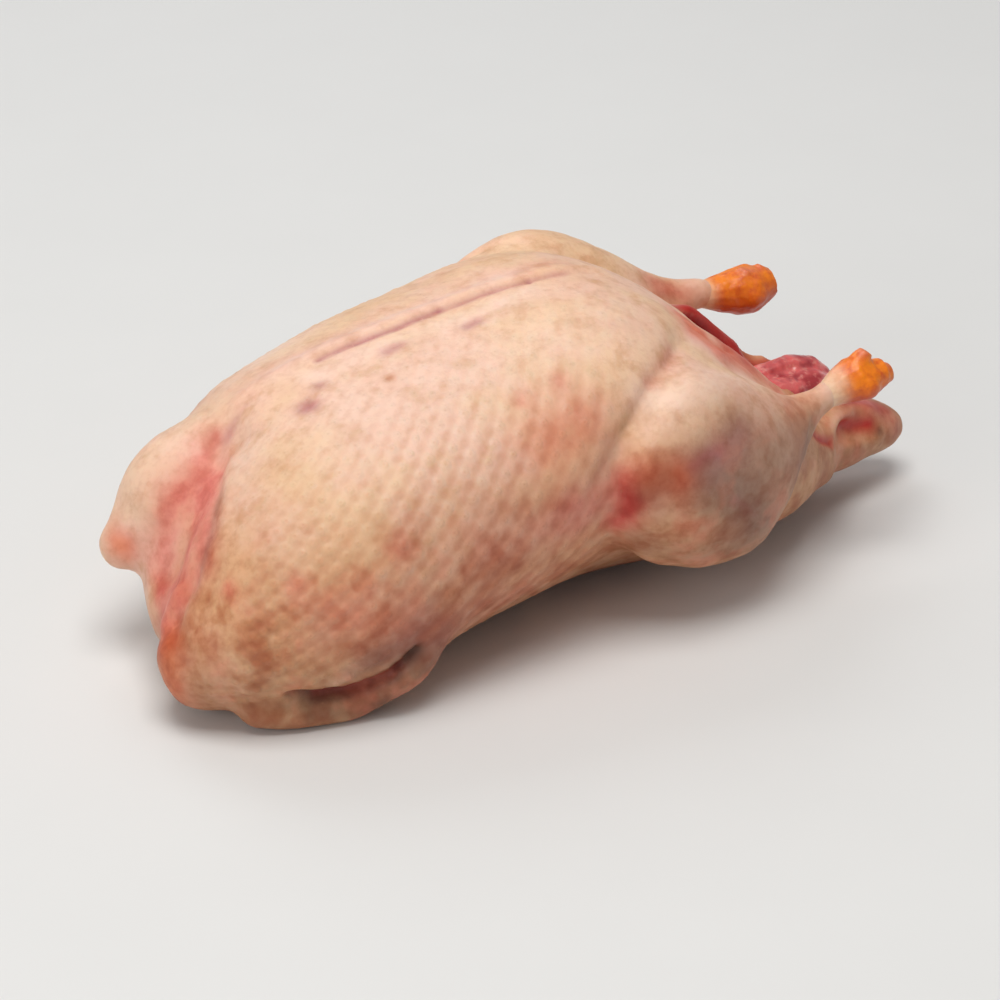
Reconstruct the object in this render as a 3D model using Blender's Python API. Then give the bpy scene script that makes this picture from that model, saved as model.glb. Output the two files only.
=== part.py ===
"""A whole raw duck, plucked and drawn, lying on its back with the breast up.

Frame, in metres: +X runs from the neck end to the tail, +Y to the bird's left
side, +Z up. The origin is at the middle of the bird's footprint, on the surface
that it lies on. Named sizes are in millimetres and become metres through MM.

The trunk, legs, tail, neck stump and wing stubs are lofted round smooth spines,
joined, melted into one skin, pressed in along the folds, and cut open at the vent.
"""

from dataclasses import dataclass, fields, replace

import bmesh
import bpy
import numpy as np
from mathutils import Matrix, Vector

MM = 0.001

# How finely the joined body is melted, smoothed and thinned out
SKIN_GRAIN = 2.2 * MM
MELT_ROUNDS = 9
VENT_ROUNDS = 2
FACE_BUDGET = 9600

# How far above its lowest line the round trunk is cut flat, where the back lies
REST_CUT = 2.4

# How finely lofts are divided along X and along a limb, and how many rings round a limb's end
RING_SIDES = 40
LIMB_SIDES = 24
LOFT_STEP = 5.0
LIMB_STEP = 2.5
CAP_RINGS = 3

# How finely a fold's line is divided between its places
FOLD_STEPS = 12


@dataclass(frozen=True)
class Slice:
    """One upright slice of a loft: its place along X and its outline (mm)."""

    x: float
    y: float
    half_width: float
    low: float
    high: float
    waist: float = 0.5
    above: float = 2.0
    below: float = 2.0


# The trunk, from the neck end to the root of the tail; it bends a little to the right
TRUNK = (
    Slice(-158.5, -24, 22, 21, 44),
    Slice(-152, -23, 39, 12, 61, 0.5, 2.2, 2.2),
    Slice(-140, -17, 54, 4, 80, 0.5, 2.3, 2.4),
    Slice(-118, -10, 69, 0, 98, 0.50, 2.3, 2.6),
    Slice(-80, -6, 77, 0, 113, 0.50, 2.3, 2.5),
    Slice(-55, -3, 78, 0, 118, 0.54, 2.3, 2.0),
    Slice(-25, -1, 78, 0, 122, 0.57, 2.3, 1.75),
    Slice(15, 0, 74, 0.5, 127, 0.60, 2.5, 1.6),
    Slice(50, 0, 70, 2, 119, 0.56, 2.3, 1.8),
    Slice(85, 0, 62, 6, 92, 0.50, 2.2, 2.0),
    Slice(106, 0, 51, 9, 72, 0.45, 2.2, 2.0),
    Slice(122, 0, 37.5, 12, 58, 0.45, 2.2, 2.0),
    Slice(134, 0, 28, 13, 48, 0.45, 2.0, 2.0),
    Slice(140, 0, 16, 17, 42),
)

# The right leg: knee, drumstick and the web of skin that ties it to the side
LEG = (
    Slice(4, -66, 6, 60, 84),
    Slice(10, -66, 13, 47, 92),
    Slice(22, -62, 21, 32, 101),
    Slice(42, -58, 28, 22.5, 106, 0.46, 2.2, 2.2),
    Slice(64, -56, 28, 21.5, 99, 0.46, 2.2, 2.2),
    Slice(82, -53, 23, 31.5, 87, 0.48, 2.1, 2.1),
    Slice(96, -50, 14, 46, 78, 0.52),
    Slice(107, -47, 8, 59, 75, 0.52),
    Slice(114, -46, 6, 64, 75),
)
LEFT_KNEE_LIFT = 13
LEFT_ANKLE_LIFT = 12

# The tail: a blunt wedge, wider than it is deep
TAIL = (
    Slice(112, 0, 30, 12, 52),
    Slice(126, 0, 26, 13, 52, 0.5, 2.2, 2.2),
    Slice(142, 0, 22, 13, 48, 0.5, 2.3, 2.3),
    Slice(158, 0, 17, 14, 41, 0.5, 2.3, 2.3),
    Slice(173.5, 0, 12, 15, 34, 0.5, 2.2, 2.2),
    Slice(182, 0, 6, 18, 28, 0.5, 2.0, 2.0),
)


@dataclass(frozen=True)
class Bead:
    """One place on a limb's spine (mm), the radius there, and the width's share of the height."""

    x: float
    y: float
    z: float
    radius: float
    spread: float = 1.0


# The right shank dips behind the leg and ends in a knobbed hock with two knuckles
SHANK = (
    Bead(90, -49, 66, 6.6),
    Bead(104, -47, 68, 5.6),
    Bead(114, -46, 70, 5.8),
    Bead(122, -46, 73, 7.6),
    Bead(130, -46, 75, 9.6),
    Bead(137, -46, 76, 9.2),
    Bead(142, -46, 77, 5.0),
)
KNUCKLES = (
    Bead(133, -46, 83, 5.4),
    Bead(142.5, -46, 76.5, 5.2),
)

# The left shank is held higher and level; written for the right side, as all the limbs are
LEFT_SHANK = (
    Bead(90, -50, 82, 7.0),
    Bead(104, -48, 80, 6.2),
    Bead(114, -46, 79, 6.2),
    Bead(123, -46, 77.5, 8.2),
    Bead(132, -46, 76.5, 10.0),
    Bead(140, -46, 77, 9.4),
    Bead(145, -46, 78, 5.0),
)
LEFT_KNUCKLE_SHIFT = (2, 0, 1)

# The stump of the neck and its skin, folded forward and to the left side
NECK = (
    Bead(-114, 19, 63.5, 32),
    Bead(-132, 23, 59, 26.5),
    Bead(-146, 25.5, 51, 17.5),
    Bead(-155, 25.5, 47, 10.5),
)

# The right shoulder, beside the neck; the left one lies further back
SHOULDER = (
    Bead(-112, -42, 38, 33),
    Bead(-132, -40, 34, 31),
    Bead(-142.5, -39, 29, 27.5),
    Bead(-149, -37, 26, 20.5),
)
LEFT_SHOULDER_SHIFT = (28, 14, 4)

# The right wing stub, folded under the shoulder; the left one lies further back
WING = (
    Bead(-139, -57, 11.5, 8.5),
    Bead(-124, -62.5, 10.5, 9),
    Bead(-108, -66, 10.5, 9),
    Bead(-96, -70, 15.5, 8.5),
    Bead(-84, -73, 21, 8.5),
    Bead(-76, -73, 27, 7),
)
LEFT_WING_SHIFT = (20, 10, 2)

# The flesh that shows behind the vent, above the tail's root
VENT_FLESH = (
    Bead(114, 3, 49.5, 13),
    Bead(130, 4, 52, 11.5),
    Bead(143, 5, 49, 9),
)


@dataclass(frozen=True)
class Fold:
    """A fold pressed into the skin, or raised from it, along a line of places (mm)."""

    path: tuple
    width: float
    depth: float


# Both sides have these, in front of the leg and over the wing; the paths are for the right side
PAIRED_FOLDS = (
    Fold(((-146, -62, 19), (-132, -69, 16), (-114, -75, 15), (-99, -76, 18), (-86, -75, 23)), 3.0, 2.5),
    Fold(((56, -38, 108), (36, -56, 104), (14, -72, 94), (0, -80, 78)), 6.0, 3.0),
    Fold(((0, -80, 78), (6, -82, 58), (18, -80, 38), (34, -70, 22)), 6.0, 3.0),
)

# The keel's ridge and groove, the fold at its end, the hollow beside the neck and the breast's edge
KEEL_RIDGE = (
    (-106, 14, 101),
    (-74, 12, 112),
    (-43, 10, 118),
    (-10, 8, 123),
    (24, 7, 125),
    (44, 8, 120),
)
KEEL_GROOVE = (
    (-78, 7, 111),
    (-43, 5, 118),
    (-10, 3, 123),
    (20, 2, 125),
    (40, 3, 122),
)
LONE_FOLDS = (
    Fold(KEEL_RIDGE, 4.0, -1.8),
    Fold(KEEL_GROOVE, 3.0, 1.8),
    Fold(((-120, -3, 93), (-106, 10, 101)), 3.5, 2.0),
    Fold(((-124, 0, 90), (-141, -6, 74), (-152, -9, 54)), 12.0, 8.0),
    Fold(((-136, -22, 84), (-143, -34, 78), (-150, -44, 64)), 3.5, 1.5),
)

# The curled skin round the hole on the right side of the tail
TAIL_FOLDS = (
    Fold(((128, -26, 34), (132, -22, 41), (144, -15, 45), (162, -9, 38)), 3.5, -2.5),
    Fold(((143, -20, 38), (153, -17, 34)), 4.5, 5.0),
)

# The raised lips of skin along both sides of the vent
VENT_LIPS = (
    Fold(((88, 14, 90), (97, 14.5, 82), (107, 15, 73), (116, 15, 66), (124, 13, 60)), 4.8, -6.5),
    Fold(((78, -18, 95), (90, -21, 86), (102, -21, 75)), 4.0, -1.2),
)

# The pocket of the vent: a slit between the legs that widens inside
VENT_POCKET = (
    Bead(60, 0, 40, 14, 1.0),
    Bead(74, 0, 53, 18, 0.95),
    Bead(88, -2, 67, 23, 0.75),
    Bead(99, -4, 78, 27, 0.5),
    Bead(113, -4, 92, 30, 0.5),
)
VENT_FULLNESS = 3.2


def smooth_between(places, values, at):
    """Read a smooth curve through the values at the given places.

    Args:
        places: Rising positions of the values.
        values: One value, or one row of values, at each position.
        at: The positions to read.

    Returns:
        An array with one value, or row, for each position in at.
    """
    places = np.asarray(places, dtype=float)
    values = np.asarray(values, dtype=float)
    steps = np.diff(places)
    if values.ndim > 1:
        steps = steps[:, None]
    rise = np.diff(values, axis=0) / steps
    inner = (rise[:-1] * steps[1:] + rise[1:] * steps[:-1]) / (steps[1:] + steps[:-1])
    turns = rise[:-1] * rise[1:] <= 0
    inner = np.where(turns, 0.0, inner)
    slope = np.concatenate((rise[:1], inner, rise[-1:]))
    k = np.clip(np.searchsorted(places, at, side="right") - 1, 0, len(places) - 2)
    gap = places[k + 1] - places[k]
    t = (np.asarray(at, dtype=float) - places[k]) / gap
    if values.ndim > 1:
        t = t[:, None]
        gap = gap[:, None]
    start = values[k] * (2 * t**3 - 3 * t**2 + 1) + slope[k] * gap * (t**3 - 2 * t**2 + t)
    end = values[k + 1] * (3 * t**2 - 2 * t**3) + slope[k + 1] * gap * (t**3 - t**2)
    return start + end


def object_from(name, bm):
    """Turn a bmesh into a new object in the scene and free the bmesh."""
    mesh = bpy.data.meshes.new(name)
    bm.to_mesh(mesh)
    bm.free()
    shape = bpy.data.objects.new(name, mesh)
    bpy.context.scene.collection.objects.link(shape)
    return shape


def mesh_from_rings(name, rings):
    """Make a closed mesh object from rings of points, with a point at each end.

    Args:
        name: The object's name.
        rings: An array of shape (rings, sides, 3), in millimetres.

    Returns:
        The new object, linked to the scene.
    """
    bm = bmesh.new()
    loops = [[bm.verts.new(Vector(point) * MM) for point in ring] for ring in rings]
    sides = len(loops[0])
    for first, second in zip(loops, loops[1:]):
        for k in range(sides):
            m = (k + 1) % sides
            bm.faces.new((first[k], first[m], second[m], second[k]))
    for loop in (loops[0], loops[-1]):
        middle = sum((vert.co for vert in loop), Vector()) / sides
        tip = bm.verts.new(middle)
        for k in range(sides):
            bm.faces.new((loop[k], loop[(k + 1) % sides], tip))
    bmesh.ops.recalc_face_normals(bm, faces=bm.faces)
    return object_from(name, bm)


def loft_slices(name, slices, side=1):
    """Loft a body through upright slices.

    Args:
        name: The object's name.
        slices: The slices in order along X.
        side: 1 as written, -1 mirrored to the other side of the bird.

    Returns:
        The new object.
    """
    keys = [field.name for field in fields(Slice)[1:]]
    table = [[getattr(part, key) for key in keys] for part in slices]
    places = [part.x for part in slices]
    count = max(6, int((places[-1] - places[0]) / LOFT_STEP))
    at = np.linspace(places[0], places[-1], count)
    turn = np.linspace(0, 2 * np.pi, RING_SIDES, endpoint=False)
    rings = []
    for x, row in zip(at, smooth_between(places, table, at)):
        y, half_width, low, high, waist, above, below = row
        middle = low + waist * (high - low)
        power = 2 / np.where(np.sin(turn) > 0, above, below)
        across = np.sign(np.cos(turn)) * np.abs(np.cos(turn)) ** power
        upright = np.sign(np.sin(turn)) * np.abs(np.sin(turn)) ** power
        reach = np.where(upright > 0, high - middle, middle - low)
        ring = np.stack((np.full(RING_SIDES, x), y + half_width * across, middle + reach * upright), -1)
        ring[:, 1] *= side
        rings.append(ring)
    return mesh_from_rings(name, rings)


def loft_beads(name, beads, side=1, fullness=2.0):
    """Loft a round limb along a smooth spine, with round ends.

    Args:
        name: The object's name.
        beads: The places along the spine.
        side: 1 as written, -1 mirrored to the other side of the bird.
        fullness: How square the limb's section is; 2 is an ellipse.

    Returns:
        The new object.
    """
    spine = np.array([(bead.x, bead.y * side, bead.z) for bead in beads], dtype=float)
    radii = np.array([bead.radius for bead in beads], dtype=float)
    run = np.concatenate(([0.0], np.cumsum(np.linalg.norm(np.diff(spine, axis=0), axis=1))))
    count = max(8, int(run[-1] / LIMB_STEP))
    at = np.linspace(0, run[-1], count)
    centres = smooth_between(run, spine, at)
    girths = smooth_between(run, radii, at)
    spreads = smooth_between(run, [bead.spread for bead in beads], at)
    heading = np.gradient(centres, axis=0)
    heading /= np.linalg.norm(heading, axis=1)[:, None]
    turn = np.linspace(0, 2 * np.pi, LIMB_SIDES, endpoint=False)[:, None]
    across = np.sign(np.cos(turn)) * np.abs(np.cos(turn)) ** (2 / fullness)
    upright = np.sign(np.sin(turn)) * np.abs(np.sin(turn)) ** (2 / fullness)
    caps = []
    for end, outward in ((0, -1), (-1, 1)):
        cap = []
        for bend in np.linspace(0, np.pi / 2, CAP_RINGS + 2)[1:-1]:
            centre = centres[end] + outward * girths[end] * np.cos(bend) * heading[end]
            cap.append((centre, heading[end], girths[end] * np.sin(bend), spreads[end]))
        caps.append(cap)
    stations = caps[0] + list(zip(centres, heading, girths, spreads)) + caps[1][::-1]
    rings = []
    for centre, ahead, girth, spread in stations:
        aside = np.cross(ahead, (0.0, 0.0, 1.0))
        aside /= np.linalg.norm(aside)
        above = np.cross(aside, ahead)
        rings.append(centre + girth * (spread * across * aside + upright * above))
    return mesh_from_rings(name, rings)


def ball(name, bead, side=1):
    """Make a round knuckle."""
    bm = bmesh.new()
    bmesh.ops.create_icosphere(bm, subdivisions=3, radius=bead.radius * MM)
    bmesh.ops.translate(bm, verts=bm.verts, vec=Vector((bead.x, bead.y * side, bead.z)) * MM)
    return object_from(name, bm)


def settle(shape):
    """Replace an object's mesh by its evaluated mesh and drop its modifiers."""
    graph = bpy.context.evaluated_depsgraph_get()
    mesh = bpy.data.meshes.new_from_object(shape.evaluated_get(graph))
    shape.modifiers.clear()
    shape.data = mesh


def join_pieces(base, pieces):
    """Join the pieces to the base with one Boolean union and remove them."""
    group = bpy.data.collections.new("pieces")
    bpy.context.scene.collection.children.link(group)
    for piece in pieces:
        group.objects.link(piece)
    union = base.modifiers.new("union", "BOOLEAN")
    union.operation = "UNION"
    union.operand_type = "COLLECTION"
    union.collection = group
    union.solver = "EXACT"
    settle(base)
    for piece in pieces:
        bpy.data.objects.remove(piece)
    bpy.data.collections.remove(group)


def melt(shape, rounds):
    """Turn a joined body into one even skin and smooth it."""
    remesh = shape.modifiers.new("even skin", "REMESH")
    remesh.mode = "VOXEL"
    remesh.voxel_size = SKIN_GRAIN
    remesh.use_smooth_shade = True
    smooth = shape.modifiers.new("melt", "SMOOTH")
    smooth.factor = 0.5
    smooth.iterations = rounds
    settle(shape)


def distance_to_path(points, path):
    """Find each point's distance from a smooth line through the path's places."""
    corners = np.asarray(path, dtype=float)
    run = np.arange(len(corners))
    line = smooth_between(run, corners, np.linspace(0, run[-1], FOLD_STEPS * run[-1] + 1))
    nearest = np.full(len(points), np.inf)
    for first, second in zip(line, line[1:]):
        along = second - first
        share = np.clip((points - first) @ along / (along @ along), 0, 1)
        away = np.linalg.norm(points - first - share[:, None] * along, axis=1)
        nearest = np.minimum(nearest, away)
    return nearest


def press_folds(shape):
    """Press the folds into the skin, along its own normals."""
    mesh = shape.data
    count = len(mesh.vertices)
    places = np.empty(count * 3)
    mesh.vertices.foreach_get("co", places)
    places = places.reshape(-1, 3) / MM
    normals = np.array([vertex.normal for vertex in mesh.vertices])
    folds = list(LONE_FOLDS + TAIL_FOLDS + VENT_LIPS)
    for fold in PAIRED_FOLDS:
        mirrored = tuple((x, -y, z) for x, y, z in fold.path)
        folds += [fold, Fold(mirrored, fold.width, fold.depth)]
    for fold in folds:
        sink = fold.depth * np.exp(-((distance_to_path(places, fold.path) / fold.width) ** 2))
        places = places - normals * sink[:, None]
    mesh.vertices.foreach_set("co", (places * MM).ravel())
    mesh.update()


def cut_away(shape, cutter):
    """Cut one object out of another and remove the cutter."""
    cut = shape.modifiers.new("cut", "BOOLEAN")
    cut.operation = "DIFFERENCE"
    cut.object = cutter
    cut.solver = "EXACT"
    settle(shape)
    bpy.data.objects.remove(cutter)


def raised(slices, knee_lift, ankle_lift):
    """Raise a leg's slices, from the knee's lift evenly to the ankle's."""
    first, last = slices[0].x, slices[-1].x
    lifted = []
    for part in slices:
        share = (part.x - first) / (last - first)
        rise = knee_lift + (ankle_lift - knee_lift) * share
        lifted.append(replace(part, low=part.low + rise, high=part.high + rise))
    return tuple(lifted)


def shifted(beads, shift):
    """Move a limb's beads by a shift along X, Y and Z."""
    across, aside, up = shift
    return tuple(replace(bead, x=bead.x + across, y=bead.y + aside, z=bead.z + up) for bead in beads)


def thin_out(shape):
    """Thin the skin to the face budget, densest where it bends most."""
    count = sum(len(polygon.vertices) - 2 for polygon in shape.data.polygons)
    thin = shape.modifiers.new("thin", "DECIMATE")
    thin.ratio = min(1.0, FACE_BUDGET / count)
    settle(shape)


def flatten_back(shape):
    """Cut the back flat where the bird lies."""
    bm = bmesh.new()
    bm.from_mesh(shape.data)
    level = Vector((0, 0, REST_CUT * MM))
    geometry = bm.verts[:] + bm.edges[:] + bm.faces[:]
    cut = bmesh.ops.bisect_plane(bm, geom=geometry, plane_co=level, plane_no=(0, 0, 1), clear_inner=True)
    rim = [item for item in cut["geom_cut"] if isinstance(item, bmesh.types.BMEdge)]
    bmesh.ops.contextual_create(bm, geom=rim)
    bmesh.ops.dissolve_degenerate(bm, dist=0.2 * MM, edges=bm.edges)
    bmesh.ops.triangulate(bm, faces=bm.faces)
    bmesh.ops.recalc_face_normals(bm, faces=bm.faces)
    bm.to_mesh(shape.data)
    bm.free()


def centre_footprint(shape):
    """Move the mesh so that the middle of its footprint is at the origin, on the surface."""
    places = [vertex.co for vertex in shape.data.vertices]
    lowest = Vector(min(place[axis] for place in places) for axis in range(3))
    highest = Vector(max(place[axis] for place in places) for axis in range(3))
    middle = (lowest + highest) / 2
    middle.z = lowest.z
    shape.data.transform(Matrix.Translation(-middle))


def skin_material():
    """Make the pale raw skin's material."""
    skin = bpy.data.materials.new("raw skin")
    skin.use_nodes = True
    shader = skin.node_tree.nodes["Principled BSDF"]
    shader.inputs["Base Color"].default_value = (0.74, 0.49, 0.33, 1.0)
    shader.inputs["Roughness"].default_value = 0.45
    shader.inputs["Metallic"].default_value = 0.0
    return skin


def build_duck():
    """Build the bird as one closed body."""
    duck = loft_slices("duck", TRUNK)
    pieces = [loft_slices("tail", TAIL), loft_beads("neck", NECK), loft_beads("vent flesh", VENT_FLESH)]
    left_leg = raised(LEG, LEFT_KNEE_LIFT, LEFT_ANKLE_LIFT)
    left_knuckles = shifted(KNUCKLES, LEFT_KNUCKLE_SHIFT)
    left_wing = shifted(WING, LEFT_WING_SHIFT)
    left_shoulder = shifted(SHOULDER, LEFT_SHOULDER_SHIFT)
    right = (1, LEG, SHANK, KNUCKLES, SHOULDER, WING)
    left = (-1, left_leg, LEFT_SHANK, left_knuckles, left_shoulder, left_wing)
    for side, leg, shank, knuckles, shoulder, wing in (right, left):
        pieces.append(loft_slices("leg", leg, side))
        pieces.append(loft_beads("shank", shank, side))
        pieces.append(loft_beads("shoulder", shoulder, side))
        pieces.append(loft_beads("wing", wing, side))
        pieces += [ball("knuckle", knuckle, side) for knuckle in knuckles]
    join_pieces(duck, pieces)
    melt(duck, MELT_ROUNDS)
    press_folds(duck)
    cut_away(duck, loft_beads("pocket", VENT_POCKET, fullness=VENT_FULLNESS))
    melt(duck, VENT_ROUNDS)
    thin_out(duck)
    flatten_back(duck)
    centre_footprint(duck)
    duck.data.materials.clear()
    duck.data.materials.append(skin_material())
    duck.data.shade_smooth()
    return duck


def main():
    """Clear the scene's objects and build the bird."""
    for item in list(bpy.data.objects):
        bpy.data.objects.remove(item)
    build_duck()


main()
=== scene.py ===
"""The looks of a whole raw duck that lies on its back: its skin, feather pits, hocks and vent.

Everything is in metres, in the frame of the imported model: +X from the neck end to the
tail, +Y to the bird's left side, +Z up. Named sizes and places are in millimetres and
become metres through MM. "Right side" is the bird's own, the side with negative Y.
"""

import logging
import math
from dataclasses import dataclass, field
from enum import Enum
from typing import Any

import bmesh
import bpy
import numpy as np
from mathutils import Matrix, Vector, noise


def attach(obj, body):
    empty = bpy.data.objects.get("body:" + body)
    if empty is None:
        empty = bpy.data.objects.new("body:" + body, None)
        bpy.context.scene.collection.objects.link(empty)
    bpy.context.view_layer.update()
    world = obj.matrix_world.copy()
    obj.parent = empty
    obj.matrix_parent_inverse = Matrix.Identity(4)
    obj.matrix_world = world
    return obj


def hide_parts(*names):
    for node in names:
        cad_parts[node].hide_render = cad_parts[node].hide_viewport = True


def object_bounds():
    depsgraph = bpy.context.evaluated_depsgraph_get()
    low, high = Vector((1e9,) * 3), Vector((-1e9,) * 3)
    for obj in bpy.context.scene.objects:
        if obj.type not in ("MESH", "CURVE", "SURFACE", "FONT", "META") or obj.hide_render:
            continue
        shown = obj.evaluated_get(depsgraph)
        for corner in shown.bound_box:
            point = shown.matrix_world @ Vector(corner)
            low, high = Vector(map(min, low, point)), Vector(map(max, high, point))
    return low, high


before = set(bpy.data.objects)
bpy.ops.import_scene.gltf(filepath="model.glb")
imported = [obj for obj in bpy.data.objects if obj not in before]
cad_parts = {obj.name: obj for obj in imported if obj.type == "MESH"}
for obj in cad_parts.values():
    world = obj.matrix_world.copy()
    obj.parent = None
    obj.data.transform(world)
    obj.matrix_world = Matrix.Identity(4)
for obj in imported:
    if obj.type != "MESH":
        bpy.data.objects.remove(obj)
cad_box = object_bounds()

LOG = logging.getLogger("duck")
MM = 0.001
TURN = 2 * math.pi
BOX_MARGIN = 0.02  # mm that every piece stays inside the solid's box
WELD = 0.01  # mm within which the solid's loose corners are one
FADED_OUT = 2.6  # reaches from a mark where it's taken to be nothing
LAMP_AIM = 0.06  # m over the floor that the lamps point at
STRAY_SEED = 1  # without one, the vector noise starts from the clock and differs each run

Place = tuple[float, float, float]
Path = tuple[Place, ...]
Colour = tuple[float, float, float, float]
Layer = tuple[float, float, float]  # a noise's height and wave size in mm, and its seed
Ring = tuple[float, float, float]  # a share of a dome's reach, its rise there and the pit's depth


# ---------------------------------------------------------------- small helpers


def tint(red: int, green: int, blue: int) -> Colour:
    """Turn a screen colour, 0 to 255, into a linear one.

    Args:
        red: The red part.
        green: The green part.
        blue: The blue part.

    Returns:
        The colour, with full alpha.
    """
    shares = [part / 255 for part in (red, green, blue)]
    linear = [s / 12.92 if s <= 0.04045 else ((s + 0.055) / 1.055) ** 2.4 for s in shares]
    return (linear[0], linear[1], linear[2], 1.0)


def ease(values: np.ndarray, start: float, end: float) -> np.ndarray:
    """Rise smoothly from 0 at start to 1 at end."""
    share = np.clip((values - start) / (end - start), 0.0, 1.0)
    return share * share * (3 - 2 * share)


def wobble(points: np.ndarray, size: float, seed: float) -> np.ndarray:
    """Read a smooth random vector field.

    Args:
        points: Places in millimetres, one a row.
        size: How large its waves are, in millimetres.
        seed: Which field to read.

    Returns:
        A vector for each place, each part about -1 to 1.
    """
    start = Vector((seed * 13.7, seed * -5.3, seed * 7.9))
    scaled = (points / size).tolist()
    return np.array([noise.noise_vector(Vector(point) + start) for point in scaled])


def swell(points: np.ndarray, size: float, seed: float) -> np.ndarray:
    """Read a smooth random number field.

    Args:
        points: Places in millimetres, one a row.
        size: How large its waves are, in millimetres.
        seed: Which field to read.

    Returns:
        A number for each place, about -1 to 1.
    """
    start = Vector((seed * 9.1, seed * 4.7, seed * -3.3))
    scaled = (points / size).tolist()
    return np.array([noise.noise(Vector(point) + start) for point in scaled])


def lumps(points: np.ndarray, layers: tuple[Layer, ...]) -> np.ndarray:
    """Add up random number fields, each told by its height, the size of its waves and its seed."""
    return sum(height * swell(points, size, seed) for height, size, seed in layers)


def nearest_on(points: np.ndarray, first: np.ndarray, second: np.ndarray) -> np.ndarray:
    """Give the way to places from the nearest place on a straight line.

    Args:
        points: Places, one a row.
        first: One end of the line.
        second: The other end.

    Returns:
        A vector for each place.
    """
    along = second - first
    share = np.clip((points - first) @ along / (along @ along), 0, 1)
    return points - first - share[:, None] * along


@dataclass(frozen=True)
class Mark:
    """A soft mark on the bird along a line of places (mm); one place makes a round spot."""

    path: Path
    reach: float
    strength: float

    def cover(self, points: np.ndarray) -> np.ndarray:
        """Say how strong the mark is at each place.

        Args:
            points: Places in millimetres, one a row.

        Returns:
            The mark's strength at each place, which fades out over its reach.
        """
        corners = np.array(self.path, dtype=float)
        margin = FADED_OUT * self.reach
        above = points > corners.min(0) - margin
        near = np.all(above & (points < corners.max(0) + margin), axis=1)
        close = points[near]
        away = np.linalg.norm(close - corners[0], axis=1)
        for first, second in zip(corners, corners[1:]):
            away = np.minimum(away, np.linalg.norm(nearest_on(close, first, second), axis=1))
        strength = np.zeros(len(points))
        strength[near] = self.strength * np.exp(-((away / self.reach) ** 2))
        return strength


def marks(*rows: tuple[Any, ...]) -> tuple[Mark, ...]:
    """Make marks from rows that hold a reach in millimetres, a strength and the path's places."""
    return tuple(Mark(tuple(path), reach, strength) for reach, strength, *path in rows)


def moved(path: Path, shift: Place, side: int = 1) -> Path:
    """Move a path by a shift; side -1 first takes it to the bird's other side."""
    return tuple((x + shift[0], side * y + shift[1], z + shift[2]) for x, y, z in path)


def read_places(mesh: bpy.types.Mesh) -> np.ndarray:
    """Read a mesh's vertex places in millimetres.

    Args:
        mesh: The mesh.

    Returns:
        Its places, one a row.
    """
    flat = np.empty(len(mesh.vertices) * 3, np.float32)
    mesh.vertices.foreach_get("co", flat)
    return flat.reshape(-1, 3).astype(float) / MM


def write_places(mesh: bpy.types.Mesh, places: np.ndarray) -> None:
    """Write a mesh's vertex places, kept inside the solid's box.

    Args:
        mesh: The mesh.
        places: Its new places in millimetres, one a row.
    """
    lowest = np.array(cad_box[0]) + BOX_MARGIN * MM
    highest = np.array(cad_box[1]) - BOX_MARGIN * MM
    inside = np.clip(places * MM, lowest, highest).astype(np.float32)
    mesh.vertices.foreach_set("co", inside.ravel())
    mesh.update()


def read_normals(mesh: bpy.types.Mesh) -> np.ndarray:
    """Read a mesh's vertex normals.

    Args:
        mesh: The mesh.

    Returns:
        Its normals, one a row.
    """
    flat = np.empty(len(mesh.vertices) * 3, np.float32)
    mesh.vertex_normals.foreach_get("vector", flat)
    return flat.reshape(-1, 3).astype(float)


def write_field(mesh: bpy.types.Mesh, name: str, values: np.ndarray) -> None:
    """Keep one number for each vertex under a name that materials can read."""
    attribute = mesh.attributes.get(name) or mesh.attributes.new(name, "FLOAT", "POINT")
    attribute.data.foreach_set("value", values.astype(np.float32))


def from_bmesh(name: str, bm: bmesh.types.BMesh) -> bpy.types.Mesh:
    """Make a mesh of an edit mesh, and free that.

    Args:
        name: The mesh's name.
        bm: The edit mesh.

    Returns:
        The mesh.
    """
    mesh = bpy.data.meshes.new(name)
    bm.to_mesh(mesh)
    bm.free()
    return mesh


def new_piece(name: str, mesh: bpy.types.Mesh) -> bpy.types.Object:
    """Make an object in the scene from a mesh.

    Args:
        name: The object's name.
        mesh: Its mesh.

    Returns:
        The object.
    """
    mesh.name = name
    piece = bpy.data.objects.new(name, mesh)
    bpy.context.scene.collection.objects.link(piece)
    return piece


def settled(piece: bpy.types.Object) -> bpy.types.Mesh:
    """Give a piece's mesh as its modifiers leave it, and drop the modifiers.

    Args:
        piece: The piece.

    Returns:
        Its new mesh.
    """
    graph = bpy.context.evaluated_depsgraph_get()
    mesh = bpy.data.meshes.new_from_object(piece.evaluated_get(graph))
    piece.modifiers.clear()
    piece.data = mesh
    return mesh


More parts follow.
